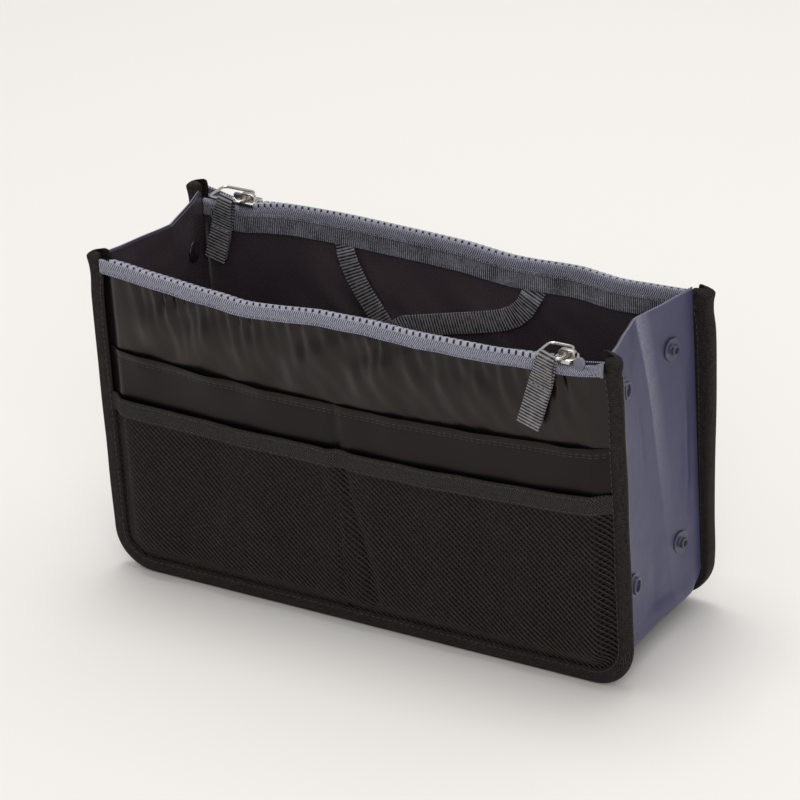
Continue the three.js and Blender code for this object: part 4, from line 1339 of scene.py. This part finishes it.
SNAP_LEVELS = {"lower": 43.0, "upper": 143.0}
STUD_LIFT = 0.3
CAP_DEPTH = 1.35
SNAP_SCALE = (0.92, 1)
LATHE_STEPS = 36


def lathe(name, profile):
    """A profile of (radius, height) pairs, carried once round the Z axis."""
    def place(along, across):
        angle = np.rint(along * LATHE_STEPS) / LATHE_STEPS * 2 * math.pi
        radius, height = profile[np.rint(across * (len(profile) - 1)).astype(int)].T
        return radius * np.cos(angle), radius * np.sin(angle), height

    piece = lay_cloth(name, LATHE_STEPS, len(profile) - 1, place, (20, 10))
    mend(piece)
    return piece


def snap_part(name, profile, side, half, z, depth, material, node):
    """A turned part of a snap, this deep in the gusset and pointing out of it or into it."""
    back = 1 if half == "rear" else -1
    y = SNAP_Y * back
    normal = unit(np.array([HINGE_Y, -back * through(CREASE_DEPTH, z), 0.0]))
    start = np.array([gusset_x(y, z, side), y, z]) - normal * depth
    axis = normal if depth < 0 else -normal
    mirror = (SIDES[side], 1, 1)
    start, axis, up = start * mirror, axis * mirror, (0, 0, 1)
    turn = np.eye(4)
    turn[:3] = np.stack([np.cross(up, axis), up, axis, start * MM], axis=1)
    piece = lathe(name, np.array(profile) * SNAP_SCALE)
    piece.data.transform(Matrix(turn.tolist()))
    dress(piece, material, "snap_plastic", f"{side}_gusset_{half}", [node], angle=35)


for side in SIDES:
    for half, part, profile in (("rear", "stud", STUD), ("front", "socket", SOCKET)):
        for level, z in SNAP_LEVELS.items():
            base = f"{side}_gusset_{half}_{level}"
            snap_part(f"{base}_snap", profile, side, half, z, -STUD_LIFT, snap_plastic,
                      f"{base}_{part}")
            snap_part(f"{base}_rivet", CAP, side, half, z, CAP_DEPTH, cap_plastic,
                      f"{base}_cap")

# %% [markdown]
# The bottom is creased the same way, upwards. At each end it meets a soft corner, where the
# gusset strip turns from side to bottom. The corner can't follow the fold as a stiff sheet, so
# it is carried by the back panel.

# %% Bottom and corners
BOTTOM_DEPTH = 8.0
BOTTOM_REACH = 37.4
BOTTOM_SIZE = (240, 77)
FOLDED_LEAN = math.radians(78)
NOTCH = 9.4
CORNER_LAP = 1.5
# The share of a corner's cloth that is bent. The rest lies flat under the bottom's end.
BENT = 0.45


def bottom_end(y):
    from_seam = (HINGE_Y - np.abs(y)) / math.cos(LEAN)
    return np.minimum(120.0, SEAM_X - NOTCH - from_seam * math.sin(FOLDED_LEAN))


def bottom_cloths():
    def place(along, across, shift):
        y = BOTTOM_REACH * (2 * across - 1)
        share = 1 - np.abs(y) / HINGE_Y
        x = (bottom_end(y) + CORNER_LAP) * (2 * along - 1)
        z = SEAM_Z + 0.3 + BOTTOM_DEPTH * (share - 0.018 * np.exp(-(y / 2.2) ** 2)) + shift
        return x, y, z + 0.3 * folds(x, y, 40, 71) * np.sin(share * math.pi)

    pair = creased_pair("bottom", (110, 40), BOTTOM_SIZE, 1.0, place)


def corner_cloths(side, sign):
    def place(along, across, shift):
        y = BOTTOM_REACH * (2 * along - 1)
        share = 1 - np.abs(y) / HINGE_Y
        turn = np.clip(across / BENT, 0, 1) * math.pi / 2
        rest = np.clip((across - BENT) / (1 - BENT), 0, 1)
        depth = 5.2 + 2.8 * np.sin(turn)
        half_way = np.sin(turn * 2) ** 2
        fade = 1 - 0.9 * half_way
        radius = 13.1 + 2.4 * half_way * ease(share * 5) - depth * share * fade - shift
        x = ARC_X + radius * np.cos(turn)
        x = x + (bottom_end(y) - CORNER_LAP - ARC_X) * rest
        z = CORNER - radius * np.sin(turn) + 0.45 * rest
        crumple = 0.25 * folds(x + z, y, 16, 81 if side == "right" else 82)
        return sign * x, y, z + crumple * np.sin(across * math.pi) * np.sin(share * math.pi)

    for piece, material, slot, suffix in cloth_pair(f"{side}_corner", (44, 36), (75, 42), 1.0,
                                                    place):
        dress(piece, material, slot, "back_panel", () if suffix else [f"{side}_corner"],
              angle=60)
        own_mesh(piece)


bottom_cloths()
for side, sign in SIDES.items():
    corner_cloths(side, sign)

# %% [markdown]
# The end of each zip: beside the slider the tape is folded to a small triangle and tucked
# down towards the binding, with a round stop on it. Past the last teeth, a tuck of the black
# cloth closes the slot between the two tapes.

# %% Zip ends
ZIP_STOP = [(0, -0.6), (2.2, -0.6), (2.5, 0), (2.45, 0.5), (2.0, 0.95), (1.0, 1.2), (0, 1.25)]
STOP_SCALE = (1.2, 1)


def zip_end(panel):
    x0 = PANELS[panel]["slider"]
    lift = zip_line(-131.0, panel)[1]
    tip, upper, lower = (
        (x0 - 11.5, 48.2, 163.2 + lift / 2), (-137.2, 47.4, 166.6 + lift),
        (-136.8, 48.0, 159.0 + lift))

    def place(along, across):
        edge = [u + (v - u) * across for u, v in zip(upper, lower)]
        x, y, z = (t + (e - t) * along for t, e in zip(tip, edge))
        return x, y + 0.5 * np.sin(across * math.pi) * along, z

    fold = lay_cloth(f"{panel}_tape_end", 14, 14, place, (12, 10))
    thicken(fold, 1.1)
    mend(fold)
    stop = lathe(f"{panel}_zip_stop", np.array(ZIP_STOP) * STOP_SCALE)
    spot = Matrix.Translation(metres(x0 - 8.0, 47.5, 164.4 + lift / 2))
    stop.data.transform(spot @ Matrix.Rotation(math.radians(-62), 4, "X"))
    on_panel(fold, panel, zip_tape, "zip_tape")
    on_panel(stop, panel, stop_plastic, "zip_tape")


def tape_tuck(panel, side, start):
    """Closes the slot between a panel's two tapes past the last tooth, on one side."""
    def place(along, across):
        x = start + (SIDES[side] * 137.8 - start) * along
        bow, rise = zip_line(x, panel)
        y = CHAIN_Y + bow + 6.8 * (across - 0.5)
        return x, y, CHAIN_Z + rise - 2.8 - 0.8 * np.sin(across * math.pi)

    tuck = lay_cloth(f"{panel}_tape_tuck_{side}", 8, 8, place, (12, 7))
    thicken(tuck, 0.6)
    mend(tuck)
    on_panel(tuck, panel, satin, "satin_nylon")


for panel in PANELS:
    zip_end(panel)
    tape_tuck(panel, "right", 125.0)
    tape_tuck(panel, "left", -130.5)

# %% [markdown]
# The photograph was taken on a white sweep in soft light, so the floor is pale and plain, and
# the light is even with one broad source above.

# %% Floor and light
bpy.ops.mesh.primitive_plane_add(size=6)
floor = bpy.context.object
floor.name = "floor"
floor_paint, *_ = new_material("pale_floor", 0.9, Specular_IOR_Level=0.1,
                               Base_Color=tint(243, 240, 235))
floor.data.materials.append(floor_paint)

world = bpy.data.worlds.new("soft_sky")
world.use_nodes = True
sky = world.node_tree.nodes["Background"]
sky.inputs["Color"].default_value = (1, 1, 1, 1)
sky.inputs["Strength"].default_value = 0.5
bpy.context.scene.world = world


def area_light(name, place, aim, size, power):
    bpy.ops.object.light_add(type="AREA", location=place)
    light = bpy.context.object
    light.name = name
    light.data.shape = "DISK"
    light.data.size = size
    light.data.energy = power
    direction = Vector(aim) - Vector(place)
    light.rotation_euler = direction.to_track_quat("-Z", "Y").to_euler()


area_light("key", (-0.2, 0.2, 2.0), (0, 0, 0.08), 1.0, 13.5)
area_light("top", (0, 1.0, 2.7), (0, 0.7, 0), 3.0, 18)
area_light("fill", (1.0, -1.3, 1.1), (0, 0, 0.08), 1.0, 6.5)
print("floor and", len(bpy.data.lights), "lights made")
